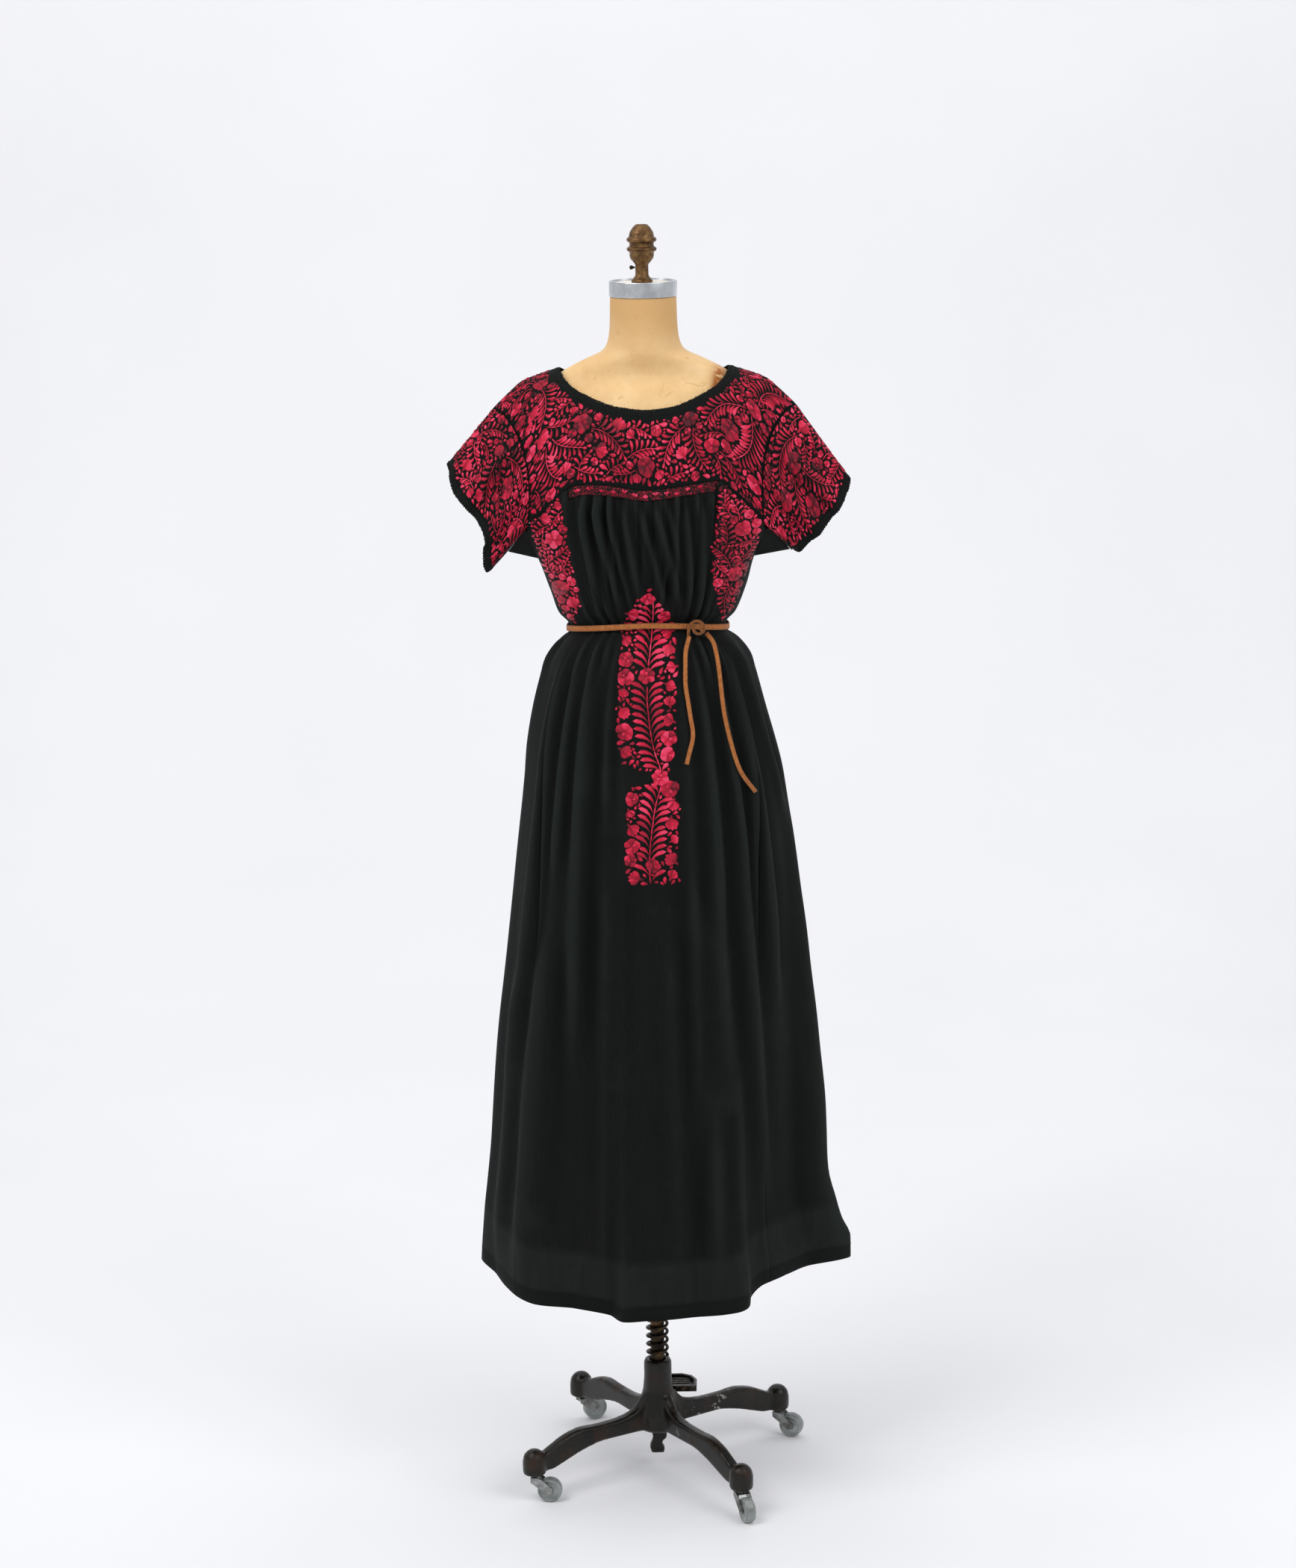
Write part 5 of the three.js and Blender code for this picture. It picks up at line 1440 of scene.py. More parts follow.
def centre_ground(seed):
    """The stem down the middle, arching comma leaves, and blooms along both edges."""
    rng = np.random.default_rng(seed)

    def inside(x, z):
        wobble = 1.2 * np.sin(z * 0.24) + 1.0 * np.sin(z * 0.57)
        return (x > curve(CENTRE, z, 1) + wobble) & (x < curve(CENTRE, z, 2) - wobble) & (z > 906)

    ground = Ground((-52, 900), (52, 1308), inside)
    for z, x, radius in ON_STEM:
        ground.place(bloom(rng, radius, 6, 0.55), (x, z), 0.6)
    for side, column in ((-1, 1), (1, 2)):
        z = 917.0 if side < 0 else 921.0
        while z < 1282:
            edge = float(curve(CENTRE, z, column))
            radius = rng.uniform(8.0, 12.5)
            if abs(edge) > 24:
                flower = bloom(rng, radius, 5 if radius > 6.5 else 4, rng.uniform(0.3, 0.7))
                if rng.random() < 0.6:
                    flower = turned(carnation(rng, radius * 0.85, 0.5), rng.uniform(0, 6.28))
                ground.place(flower, (edge - side * (radius + 0.3), z), 0.16)
            z += radius * 2 + rng.uniform(-1.5, 4)
    z = 909.0
    while z < 1280:
        here, after = stem_place(z), stem_place(z + 9.4)
        heading = math.atan2(9.4, after - here)
        ground.place([leaf((0, 0), heading, 12.0, 1.8, 0, 0.75, 0.9, 0.6)], (here, z), 0.6)
        for side in (1, -1):
            reach = abs(float(curve(CENTRE, z + 8, 1 if side > 0 else 2)) - here)
            long = min(rng.uniform(0.6, 0.8) * reach + 4, 28)
            for share in (1.0, 0.8, 0.62, 0.48):
                stalk = leaf((0, 0), heading + side * 0.32, long * share, 6.2, side * 1.25,
                             rng.uniform(0.45, 0.85), 2.3, 0.8)
                if ground.place([stalk], (here + -side * 0.9, z + 1), 0.1):
                    break
        z += 9.4
    for sizes, tries in (((13, 10.5, 8.5), 1200), ((6.5, 5), 1200)):
        leaves = [
            [leaf((-s / 2, 0), 0, s, 1.5 + 0.36 * s, bend, rng.uniform(0.35, 0.75), 1.4, 0.6)]
            for s in sizes for bend in (0.7, -0.7)
        ]
        ground.fill(rng, leaves, tries, 0.0)
    return ground


# Height and distance from the middle of the strips' outer edge.
STRIP_OUTER = [(1250, 104), (1262, 116), (1330, 142), (1360, 152), (1400, 158), (1446, 158)]


def strip_ground(sign, seed):
    """Flowered strip beside the gathered middle, from the yoke down to the belt."""
    inner = (((1256, 100), (1294, 91), (1324, 86), (1395, 93), (1446, 98)) if sign > 0 else
             ((1256, 97), (1281, 90), (1327, 98), (1398, 109), (1446, 116)))

    def inside(x, z):
        far = np.abs(x)
        limit = curve(STRIP_OUTER, z)
        level = curve(YOKE_LEVELS, np.clip(sign * far * 0.42, -69, 69))
        wobble = 1.5 * np.sin(z * 0.23) + 1.3 * np.sin(z * 0.51)
        return ((far > curve(inner, z) + wobble) & (far < limit) & (z > WAIST_Z + 7)
                & (z < level - 3.5) & (x * sign > 0))

    low, high = ((84, 1246), (162, 1446)) if sign > 0 else ((-162, 1246), (-84, 1446))
    return flower_ground(Ground(low, high, inside), seed, 38.0)


# ---- the object's settings ---------------------------------------------------
class DressClothSettings(bpy.types.PropertyGroup):
    """Sizes and colours of the dress."""

    cotton: bpy.props.StringProperty(
        name="Cotton", description="sRGB hex colour of the washed black cotton", default="#0a0c0b")
    thread_dark: bpy.props.StringProperty(
        name="Dark thread", description="sRGB hex colour of the crimson silk", default="#960d2b")
    thread_light: bpy.props.StringProperty(
        name="Light thread", description="sRGB hex colour of the rose silk", default="#e22f54")
    cloth_thickness: bpy.props.FloatProperty(
        name="Cloth", description="Thickness of the cloth with its folds", default=CLOTH * MM,
        min=0.0005, max=0.003, unit="LENGTH")
    picot_spacing: bpy.props.FloatProperty(
        name="Picots", description="Distance between the picots of the edgings", default=0.0036,
        min=0.002, max=0.01, unit="LENGTH")
    stitch_spacing: bpy.props.FloatProperty(
        name="Hem stitches", description="Distance between the stitches of the hem",
        default=0.0034, min=0.002, max=0.01, unit="LENGTH")
    flower_seed: bpy.props.IntProperty(
        name="Flower seed", description="Seed for setting out the embroidery", default=7, min=0)


class DressStandSettings(bpy.types.PropertyGroup):
    """Sizes and colours of the belt, the form and its stand."""

    suede: bpy.props.StringProperty(
        name="Suede", description="sRGB hex colour of the belt", default="#a5632e")
    linen: bpy.props.StringProperty(
        name="Form", description="sRGB hex colour of the form's skin", default="#e7c18a")
    belt_width: bpy.props.FloatProperty(
        name="Belt width", description="Width of the lace round the waist",
        default=BELT_WIDE * MM, min=0.004, max=0.02, unit="LENGTH")
    cast_grain: bpy.props.FloatProperty(
        name="Casting", description="Size of the cells that round the casting's corners",
        default=0.00245, min=0.0015, max=0.004, unit="LENGTH")
    backdrop: bpy.props.StringProperty(
        name="Backdrop", description="sRGB hex colour of the studio's cove", default="#eeeef0")


def cloth_settings():
    return bpy.context.scene.dress_cloth


def stand_settings():
    return bpy.context.scene.dress_stand


def finish_of(name, maker, *values):
    """The named material, made the first time that it is asked for."""
    return bpy.data.materials.get(name) or maker(*values)


def cotton():
    return finish_of("washed_black_cotton", cotton_finish, cloth_settings().cotton)


def ground():
    return finish_of("puckered_black_cotton", ground_finish, cloth_settings().cotton)


def silk():
    settings = cloth_settings()
    return finish_of(
        "crimson_embroidery_silk", silk_finish, settings.thread_dark, settings.thread_light)


def crochet():
    return finish_of("black_crochet_cotton", crochet_finish)


def suede():
    return finish_of("brown_suede", suede_finish, stand_settings().suede)


def iron():
    return finish_of("worn_painted_iron", iron_finish)


def settle(obj, body, slot, *nodes):
    """The piece rides on its body in place of the solids it stands for; its slot is not used."""
    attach(obj, body)
    if nodes:
        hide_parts(*nodes)


def coat(node, finish):
    """Gives a solid that stays in view its finish."""
    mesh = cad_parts[node].data
    mesh.materials.clear()
    mesh.materials.append(finish)


# ---- the dress ---------------------------------------------------------------
LEVELS = np.concatenate([
    np.linspace(1262, 1222, 15)[:-1], np.linspace(1222, 1150, 17)[:-1],
    np.linspace(1150, 1000, 22)[:-1], np.linspace(1000, 420, 44),
])
PANELS = {
    "front": (-SEAM_FRONT, SEAM_FRONT, 250), "side_right": (SEAM_FRONT, SEAM_BACK, 78),
    "back": (SEAM_BACK, 360 - SEAM_BACK, 144), "side_left": (-SEAM_BACK, -SEAM_FRONT, 78),
}
# Degrees that a panel stops short of the next, and how far it goes up and in behind the band.
PANEL_CLEAR, BAND_OVERLAP, BAND_TUCK = 0.02, 2.5, 2.3
PANEL_NODES = {
    "front": "front_panel", "side_right": "side_panel_right", "back": "back_panel",
    "side_left": "side_panel_left",
}


def panel_grid(first, last, columns):
    """Grid of a panel from its top edge to the hem, and each point's height over the hem."""
    phi = np.linspace(first, last, columns)
    phi[0] += PANEL_CLEAR
    phi[-1] -= PANEL_CLEAR
    turn = wrap(phi)
    banded = smooth(turn, BAND_FROM - 1, BAND_FROM) * (1 - smooth(turn, BAND_TO, BAND_TO + 1))
    band_low = yoke_level(turn) - BAND_HIGH
    top = np.where(banded > 0.5, yoke_level(turn) - BAND_OVERLAP, body_top(turn))
    hem = curve(HEM_LEVELS, turn)
    upper = np.linspace(0, 1, 58, endpoint=False)
    heights = [mix(top, LEVELS[0], t) for t in upper]
    heights += [np.full(columns, z) for z in LEVELS]
    heights += [mix(LEVELS[-1], hem, t) for t in np.linspace(0, 1, 17)[1:]]
    z = np.array(heights)
    grid = body_point(np.broadcast_to(phi, z.shape), z)
    under = 1 - BAND_TUCK * banded * smooth(z - band_low, -3, 1) / np.linalg.norm(grid[..., :2], axis=-1)
    grid[..., :2] *= under[..., None]
    # A crest or valley counts in full 2.6 mm off the mean of the 7.5 degrees around it; the cotton's painted
    # shade and painted highlight follow it.
    radius = np.linalg.norm(grid[..., :2], axis=-1)
    wide = int(7.5 * columns / (last - first)) | 1
    padded = np.pad(radius, ((0, 0), (wide // 2, wide // 2)), mode="reflect")
    mean = np.array([np.convolve(row, np.ones(wide) / wide, mode="valid") for row in padded])
    return grid, {"hem": (z - hem) * MM, "crest": np.clip((radius - mean) / 2.6, -1, 1)}


def hem_line():
    """Line of the hem's stitching and the outward direction at each point."""
    phi = np.arange(-180, 180, 0.35)
    z = curve(HEM_LEVELS, phi) + 18.5
    point = body_point(phi, z)
    after, before = body_point(phi + 0.4, z), body_point(phi - 0.4, z)
    along = after - before
    outward = unit(np.stack([along[:, 1], -along[:, 0], np.zeros(len(phi))], -1))
    return point + outward * (CLOTH / 2 + 0.05), outward


def stitch_piece():
    line = [(-1.1, 0, -0.1), (-0.5, 0, 0.12), (0.5, 0, 0.12), (1.1, 0, -0.1)]
    return hidden_piece("one_stitch", *tube(line, 0.22, 5))


class DRESS_OT_body(bpy.types.Operator):
    """Make the four long panels of the dress and the stitching of the hem"""
    bl_idname = "dress.body"
    bl_label = "Dress panels"

    def execute(self, context):
        for part, (first, last, columns) in PANELS.items():
            grid, facts = panel_grid(first, last, columns)
            obj = cloth_shell(f"{part}_cloth", grid, cloth_settings().cloth_thickness / MM, cotton(),
                              facts=facts)
            settle(obj, "carried", "cotton", PANEL_NODES[part])
            area = grid_area(grid)
            wide = float(np.linalg.norm(np.diff(grid[-1], axis=0), axis=1).sum()) * MM * 1.02
        line, outward = hem_line()
        hem = repeat_along("hem_stitches", line, outward, stitch_piece(),
                           cloth_settings().stitch_spacing / MM, crochet(), turn_variation=0.05)
        settle(hem, "carried", "cotton")
        return {"FINISHED"}


def yoke_grid(side):
    """Grid of the yoke from the shoulders and the neck edge down to the seam under it."""
    yoke = YOKES[side]
    ridge = np.linspace(RIDGE_HALF, NECK_HALF, 40, endpoint=False)
    neck = NECK_HALF * np.sin(np.linspace(-0.5, 0.5, 141) * math.pi)
    x = np.concatenate([-ridge, neck, ridge[::-1]])
    share = np.concatenate([ridge * 0, curve(NECKLINES[side], np.abs(neck)), ridge * 0])
    half = np.where(x < 0, yoke.half[-1], yoke.half[1])
    start = x / (curve(ARMHOLE, share) + (half - YOKE_HALF) * share)
    edge = yoke.point(neck, share[40:-40])
    run = run_along(edge)
    outer = np.linspace(1, 0.78, 40, endpoint=False)
    end = np.concatenate([-outer, 0.78 * (2 * run / run[-1] - 1), outer[::-1]])
    down = np.linspace(0, 1, 46)[:, None]
    grid = yoke.column(mix(start, end, down) * half, mix(share, 1.0, down))
    pucker = 0.15 * ripple(grid[..., 0] * 0.11 + grid[..., 2] * 0.05, 31) * np.sin(down * math.pi)
    grid = grid + normals_of(grid) * pucker[..., None] * (1 if side == "front" else -1)
    return grid if side == "front" else grid[:, ::-1]


class DRESS_OT_yoke(bpy.types.Operator):
    """Make the yoke's front and back and the smocked band under it"""
    bl_idname = "dress.yoke"
    bl_label = "Yoke and smocked band"

    def execute(self, context):
        for side in ("front", "back"):
            grid = yoke_grid(side)
            obj = cloth_shell(f"yoke_{side}_cloth", grid, CLOTH, ground())
            settle(obj, "carried", "embroidered_cotton", f"yoke_{side}")
            round(min(grid_area(grid) * 1.02, 0.43 * 0.215), 4)
        band = cloth_shell(
            "smocked_band_cloth", band_grid(), CLOTH,
            finish_of("smocked_cotton", smocking_finish, cloth_settings().thread_dark))
        settle(band, "carried", "embroidered_cotton", "smocked_band")
        round(grid_area(band_grid()) * 1.1, 5)
        return {"FINISHED"}


def band_point(phi, drop):
    level = yoke_level(phi)
    p = body_point(phi, level - drop, pleats=False)
    plain = body_point(phi, 1436.0, pleats=False)
    p[..., 1] = mix(p[..., 1], plain[..., 1], 0.5)
    return p


def band_grid():
    phi = np.linspace(BAND_FROM + 0.4, BAND_TO - 0.4, 220)
    drop = np.linspace(SEAM_GAP + 0.5, BAND_HIGH, 14)[:, None]
    phi, drop = np.broadcast_arrays(phi, drop)
    grid = band_point(phi, drop)
    run = phi * 2.05
    cells = np.sin(run * 1.5 + np.floor(drop / 2.7) * math.pi) * np.cos(drop * 1.15)
    return grid + normals_of(grid) * (0.4 * cells)[..., None]


class DRESS_OT_sleeves(bpy.types.Operator):
    """Make both sleeves and the gussets under the arms"""
    bl_idname = "dress.sleeves"
    bl_label = "Sleeves and gussets"

    def execute(self, context):
        for side, (sign, _, _) in SLEEVES.items():
            t = np.arange(204) / 204
            s = np.linspace(0.008, 1, 36)[:, None]
            grid = sleeve_point(side, *np.broadcast_arrays(s, t))
            if sign < 0:
                grid = grid[:, ::-1]
            obj = cloth_shell(f"sleeve_{side}_cloth", grid, CLOTH, ground(), closed=True)
            settle(obj, "carried", "embroidered_cotton", f"sleeve_{side}")
            area = grid_area(grid, closed=True)
            down, along = np.meshgrid(np.linspace(0, 1, 26), np.linspace(0.12, 0.88, 40), indexing="ij")
            gusset = gusset_point(side, down, along)
            gusset = gusset[::-1] if sign > 0 else gusset[::-1, ::-1]
            obj = cloth_shell(f"gusset_{side}_cloth", gusset, CLOTH, cotton(),
                              facts={"hem": np.ones(gusset.shape[:2])})
            settle(obj, "carried", "cotton", f"gusset_{side}")
            area = grid_area(gusset)
        return {"FINISHED"}


def crochet_pieces():
    """The crochet's puff, its open loop and the small picot at its edge."""
    turn = np.arange(10) * math.pi / 5
    rows = [(0.0, -0.75), (1.05, -0.45), (1.3, 0.1), (0.85, 0.65), (0.0, 0.85)]
    puff = np.array([
        (r * math.cos(a) * 1.25, r * math.sin(a) * 0.9, z) for r, z in rows[1:-1] for a in turn
    ])
    puff = np.concatenate([puff, [(0, 0, rows[0][1]), (0, 0, rows[-1][1])]])
    faces = [(r * 10 + k, r * 10 + (k + 1) % 10, r * 10 + 10 + (k + 1) % 10, r * 10 + 10 + k)
             for r in range(2) for k in range(10)]
    faces += [(30, (k + 1) % 10, k) for k in range(10)] + [(31, 20 + k, 20 + (k + 1) % 10) for k in range(10)]
    ring = np.arange(12) * math.pi / 6
    loop = tube(np.stack([1.75 * np.cos(ring), 2.2 * np.sin(ring), 0.25 * np.cos(ring * 2)], -1),
                1.0, 6, closed=True)
    picot = tube(np.stack([1.2 * np.cos(ring), 1.3 * np.sin(ring), np.zeros(12)], -1), 0.78, 5, True)
    return (hidden_piece("crochet_puff", puff, faces), hidden_piece("crochet_loop", *loop),
            hidden_piece("crochet_picot", *picot))


def edging(name, edge, away, normal, reaches, solid, node):
    """Crocheted edging: a narrow heading, rows of puffs, open loops and picots."""
    puff, loop, picot = crochet_pieces()
    spacing = cloth_settings().picot_spacing / MM
    rows = [
        ("heading_puffs", reaches[0] + 0.9, puff, 2.3, 0.95),
        ("loops", reaches[1] - 2.9, loop, spacing, 1.0),
        ("picots", reaches[1] - 0.9, picot, spacing, 1.12),
    ]
    if solid > 5:
        rows += [("middle_puffs", 3.3, puff, 2.5, 1.0), ("outer_puffs", 5.9, puff, 2.7, 1.05)]
    band = np.stack([edge + away * r for r in np.linspace(reaches[0], reaches[0] + solid, 4)])
    grid = band[::-1]
    pieces = [cloth_shell(f"{name}_heading", grid, EDGE_CLOTH, crochet(), closed=True)]
    for index, (kind, reach, piece, step, size) in enumerate(rows):
        line = edge + away * reach + normal * (0.25 if piece is puff else 0)
        pieces.append(repeat_along(
            f"{name}_{kind}", line, normal, piece, step, crochet(), size=size,
            size_variation=0.14, turn_variation=0.3, seed=40 + index))
    for obj in pieces:
        settle(obj, "carried", "crochet_thread")
    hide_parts(node)


class DRESS_OT_edgings(bpy.types.Operator):
    """Make the crocheted edgings of the neck and the cuffs"""
    bl_idname = "dress.edgings"
    bl_label = "Crocheted edgings"

    def execute(self, context):
        edge, away, normal = neck_edge(320)
        edging("neck_crochet", edge, away, normal, (0.2, 9.0), 6.6, "neck_edging")
        for side in SLEEVES:
            t = np.arange(220) / 220
            rim, before = sleeve_point(side, 1.0, t), sleeve_point(side, 0.95, t)
            along = unit(np.roll(rim, -1, 0) - np.roll(rim, 1, 0))
            away = rim - before
            away = unit(away - along * (away * along).sum(1, keepdims=True))
            normal = np.cross(along, away)
            normal *= np.sign((normal * (rim - rim.mean(0))).sum(1, keepdims=True))
            edging(f"cuff_crochet_{side}", rim, away, normal, (-0.4, 8.0), 6.2, f"cuff_edging_{side}")
        return {"FINISHED"}


def band_flowers():
    """Little crimson fans and cross stitches worked on the smocked band."""
    rng = np.random.default_rng(cloth_settings().flower_seed + 90)
    patch = Ground((-100, 0), (100, 15), lambda x, y: np.ones(x.shape, bool))
    for x in np.arange(-88, 86, 14.5):
        for turn in (-0.7, 0, 0.7):
            petal = leaf((0, 0), math.pi / 2 + turn, 5.2, 2.1, 0, 0.85, 1.2, 0.8)
            patch.parts.append({**petal, **{
                key: petal[key] + np.array([x + rng.uniform(-1, 1), 5.0 + 2.2 * math.sin(x)])
                for key in LINES
            }})
    for x in np.arange(-94, 92, 1.9):
        for y in np.arange(1.8, 13.5, 1.9):
            if rng.random() < 0.4:
                stitch = leaf((0, 0), rng.choice((0.8, -0.8)), 2.1, 0.75, 0,
                              0.6 + rng.uniform(-0.25, 0.3), 1, 0.5)
                patch.parts.append(moved(stitch, np.array([x, y]) + rng.uniform(-0.4, 0.4, 2)))

    def place(x, y):
        return band_point(x / 2.14, BAND_HIGH - np.clip(y, 1, 13))
    return patch, surface_with_normal(place, radial)


class DRESS_OT_embroidery(bpy.types.Operator):
    """Embroider the yoke, the sleeves, the strips beside the gathers and the centre"""
    bl_idname = "dress.embroidery"
    bl_label = "Embroidery"

    def execute(self, context):
        seed = cloth_settings().flower_seed
        work = []
        for k, side in enumerate(("front", "back")):
            work.append((f"flowers_yoke_{side}", yoke_ground(side, seed + k), yoke_map(side)))
        for k, side in enumerate(SLEEVES):
            cloth = SleeveCloth(side)
            reach = cloth.around
            patch = Ground((reach[0], 0), (reach[-1], cloth.length.max()), cloth.inside)
            flower_ground(patch, seed + 10 + k)
            work.append((f"flowers_sleeve_{side}", patch, sleeve_map(cloth)))
        front, back = FrontCloth(), FrontCloth(back=True)
        on_front = surface_with_normal(front.point, radial)
        on_back = surface_with_normal(back.point, radial)
        work.append(("flowers_centre", centre_ground(seed + 20), on_front))
        for sign, name in ((1, "right"), (-1, "left")):
            work.append((f"flowers_strip_{name}", strip_ground(sign, seed + 30 + sign), on_front))
            work.append((f"flowers_back_strip_{name}", strip_ground(sign, seed + 40 + sign), on_back))
        patch, on_band = band_flowers()
        work.append(("flowers_band", patch, on_band))
        for k, (name, patch, surface) in enumerate(work):
            if not patch.parts:
                raise RuntimeError(f"{name}: no motif found room")
            obj = stitched(name, patch, surface, silk(), seed + 60 + k)
            settle(obj, "carried", "embroidered_cotton")
        return {"FINISHED"}


# ---- the belt ----------------------------------------------------------------
def lace_mesh(name, path, side, wide, thick, closed=False):
    """Flat lace with rounded edges along a path; side is the direction of its width."""
    along = np.roll(path, -1, 0) - np.roll(path, 1, 0) if closed else np.gradient(path, axis=0)
    along = unit(along)
    side = unit(side - along * (side * along).sum(1, keepdims=True))
    deep = np.cross(along, side)
    turn = np.arange(12) * math.pi / 6 + math.pi / 12
    a = np.sign(np.cos(turn)) * np.abs(np.cos(turn)) ** 0.45
    b = np.sign(np.sin(turn)) * np.abs(np.sin(turn)) ** 0.7
    rough = 1 + 0.02 * ripple(np.arange(len(path)) * 0.7, 51)
    grid = (path[:, None] + side[:, None] * (a * wide / 2)[None, :, None] * rough[:, None, None]
            + deep[:, None] * (b * thick / 2)[None, :, None])
    edge = np.broadcast_to(np.abs(a), (len(path), 12))
    faces = ring_faces(len(path), 12, closed)
    return make_mesh(name, grid.reshape(-1, 3), faces, suede(), facts={"edge": edge})


KNOT_SHIFT = np.array([4.5, -0.5, 7.5])


def knot_path():
    """Line of the lace through the knot: up the left, over, and round inside itself."""
    keys = np.array([
        (50.5, -86.5, 1229), (50.8, -87.5, 1237), (53.5, -89.0, 1246), (60, -90.0, 1250.5),
        (67, -89.5, 1249), (71.5, -88.5, 1243), (70.5, -87.5, 1236), (64.5, -87.0, 1232.5),
        (58.5, -87.5, 1236), (58, -88.5, 1242), (63, -90.5, 1245), (67, -91.5, 1240.5),
        (71, -90.5, 1235),
    ])
    keys = keys + KNOT_SHIFT
    t = np.linspace(0, len(keys) - 1, 84)
    i = np.clip(t.astype(int), 0, len(keys) - 2)
    f = (t - i)[:, None]
    return between(*(keys[np.clip(i + k, 0, len(keys) - 1)] for k in (-1, 0, 1, 2)), f)


ENDS = (
    ("belt_end_short", SHORT_END, 1.0), ("belt_end_long", LONG_END, 1.5),
)


class DRESS_OT_belt(bpy.types.Operator):
    """Make the suede belt, its knot and its two hanging ends"""
    bl_idname = "dress.belt"
    bl_label = "Belt"

    def execute(self, context):
        for node, places, settled in ENDS:
            path = lace_path(places, settled)
            side = np.cross(np.array([[0.0, -1.0, 0.0]]), np.gradient(path, axis=0))
            obj = lace_mesh(f"{node}_lace", path, side, LACE_WIDE, BELT_THICK)
            settle(obj, "carried", "suede_lace", node)
        loop = belt_line(300)
        loop[:, 2] += 0.35 * ripple(np.linspace(0, 14, 300), 52)
        wide = stand_settings().belt_width / MM
        belt = lace_mesh("belt_lace", loop, np.tile([[0.0, 0.0, 1.0]], (300, 1)), wide, BELT_THICK, True)
        settle(belt, "carried", "suede_lace", "belt")
        path = knot_path()
        side = np.tile([[0.25, -0.9, 0.35]], (len(path), 1))
        knot = lace_mesh("belt_knot_lace", path, side, 5.4, 3.6)
        settle(knot, "carried", "suede_lace", "belt_knot")
        return {"FINISHED"}


# ---- the form ----------------------------------------------------------------
RING = [(43.2, 1688.6), (46, 1688.6), (46, 1709.4), (43.2, 1709.4), (43.2, 1688.6)]
PLATE = [(0.5, 1688.5), (42.8, 1688.5), (42.8, 1706.6), (0.5, 1706.6)]
FINIAL = [
    (0.5, 1707), (14.5, 1707), (14.5, 1710), (11.5, 1713), (9, 1716.4), (8.8, 1731),
    (11.5, 1734), (15.6, 1739), (16.6, 1743), (16.2, 1747), (20.2, 1750), (20.2, 1753),
    (16.4, 1755.5), (16.4, 1760), (20.2, 1762.5), (20.2, 1766), (17, 1768), (16, 1774),
    (11.5, 1781), (7.5, 1784.5), (0.5, 1784.8),
]


class DRESS_OT_form(bpy.types.Operator):
    """Make the limbless form, its neck ring, top plate and finial"""
    bl_idname = "dress.form"
    bl_label = "Form"

    def execute(self, context):
        z = np.concatenate([np.linspace(955, 1540, 50)[:-1], np.linspace(1540, 1688.1, 76)])
        turn = np.arange(144) * 2 * math.pi / 144
        s, c = np.sin(turn), np.cos(turn)
        across = curve(FORM, z, 1)[:, None]
        deep = np.where(c > 0, curve(FORM, z, 2)[:, None], curve(FORM, z, 3)[:, None])
        ridge = 0.5 * np.exp(-(np.sin(turn / 2) * 60) ** 2) * smooth(z, 1500, 1560)[:, None]
        uneven = 0.5 * ripple(z[:, None] * 0.05 + 3 * s, 61) * ripple(turn * 2 + z[:, None] * 0.02, 62)
        grid = np.stack([
            across * s, -c * deep, np.broadcast_to(z[:, None], (len(z), 144))
        ], -1)
        away = np.stack([s, -c, np.zeros(144)], -1)
        grid = grid + away * (np.minimum(uneven, 0.25) + ridge - 0.3)[..., None]
        flat = grid.reshape(-1, 3)
        front = flat[:, 1] < 0
        stain = 1.5 * np.exp(-((flat[:, 0] - 102) / 9) ** 2 - ((flat[:, 2] - 1578) / 18) ** 2) * front
        stain += 1.4 * np.exp(-((flat[:, 0] - 95) / 6) ** 2 - ((flat[:, 2] - 1556) / 14) ** 2) * front
        torso = make_mesh(
            "torso_skin", flat, ring_faces(len(z), 144),
            finish_of("aged_tan_linen", form_finish, stand_settings().linen),
            np.stack([np.broadcast_to(turn * 0.1, grid.shape[:2]).ravel(), flat[:, 2] * MM], -1),
            {"stain": stain})
        settle(torso, "carried", "linen_form", "form_torso")
        band = revolved(rounded(RING[:-1], 0.9) + [RING[0]], 96)
        ring = join_parts("neck_band", [band], finish_of("bright_aluminium", bright_ring_finish))
        settle(ring, "carried", "bright_metal", "neck_ring")
        seam = math.asin(-0.56)
        lap = join_parts("neck_band_lap", [block(
            (1.6, 0.5, 20.4), (46.1 * math.sin(seam), -46.1 * math.cos(seam), 1699), seam)],
            bpy.data.materials["bright_aluminium"])
        settle(soften(lap, 0.2), "carried", "bright_metal")
        plate = join_parts("neck_top", [revolved(rounded(PLATE, 1.5), 80)],
                           finish_of("cream_card", card_finish))
        settle(plate, "carried", "cream_card", "neck_plate")
        finial = join_parts("turned_finial", [revolved(rounded(FINIAL, 1.4), 64, (-1.2, 0))],
                            finish_of("old_bronze_lacquer", bronze_finish))
        settle(finial, "carried", "antique_bronze", "finial")
        path = [(-10.6, 0, 1727), (-12.5, 0, 1727), (-13.0, 0, 1727), (-13.6, 0, 1727),
                (-14.6, 0, 1727), (-16.4, 0, 1727), (-17.6, 0, 1727), (-17.9, 0, 1727)]
        screw = join_parts("finial_thumb_screw", [
            tube(path, np.array([1.4, 1.4, 1.5, 2.3, 2.8, 2.8, 2.1, 0.9]), 20)],
            finish_of("oiled_spring_steel", spring_finish))
        settle(screw, "carried", "dark_steel", "finial_screw")
        return {"FINISHED"}


# ---- the stand ---------------------------------------------------------------
HUB = [
    (11.6, 60), (24, 60), (30, 66), (31, 84), (26, 104), (21.5, 122), (20, 140), (20, 163),
    (18, 167), (11.6, 167), (11.6, 60),
]
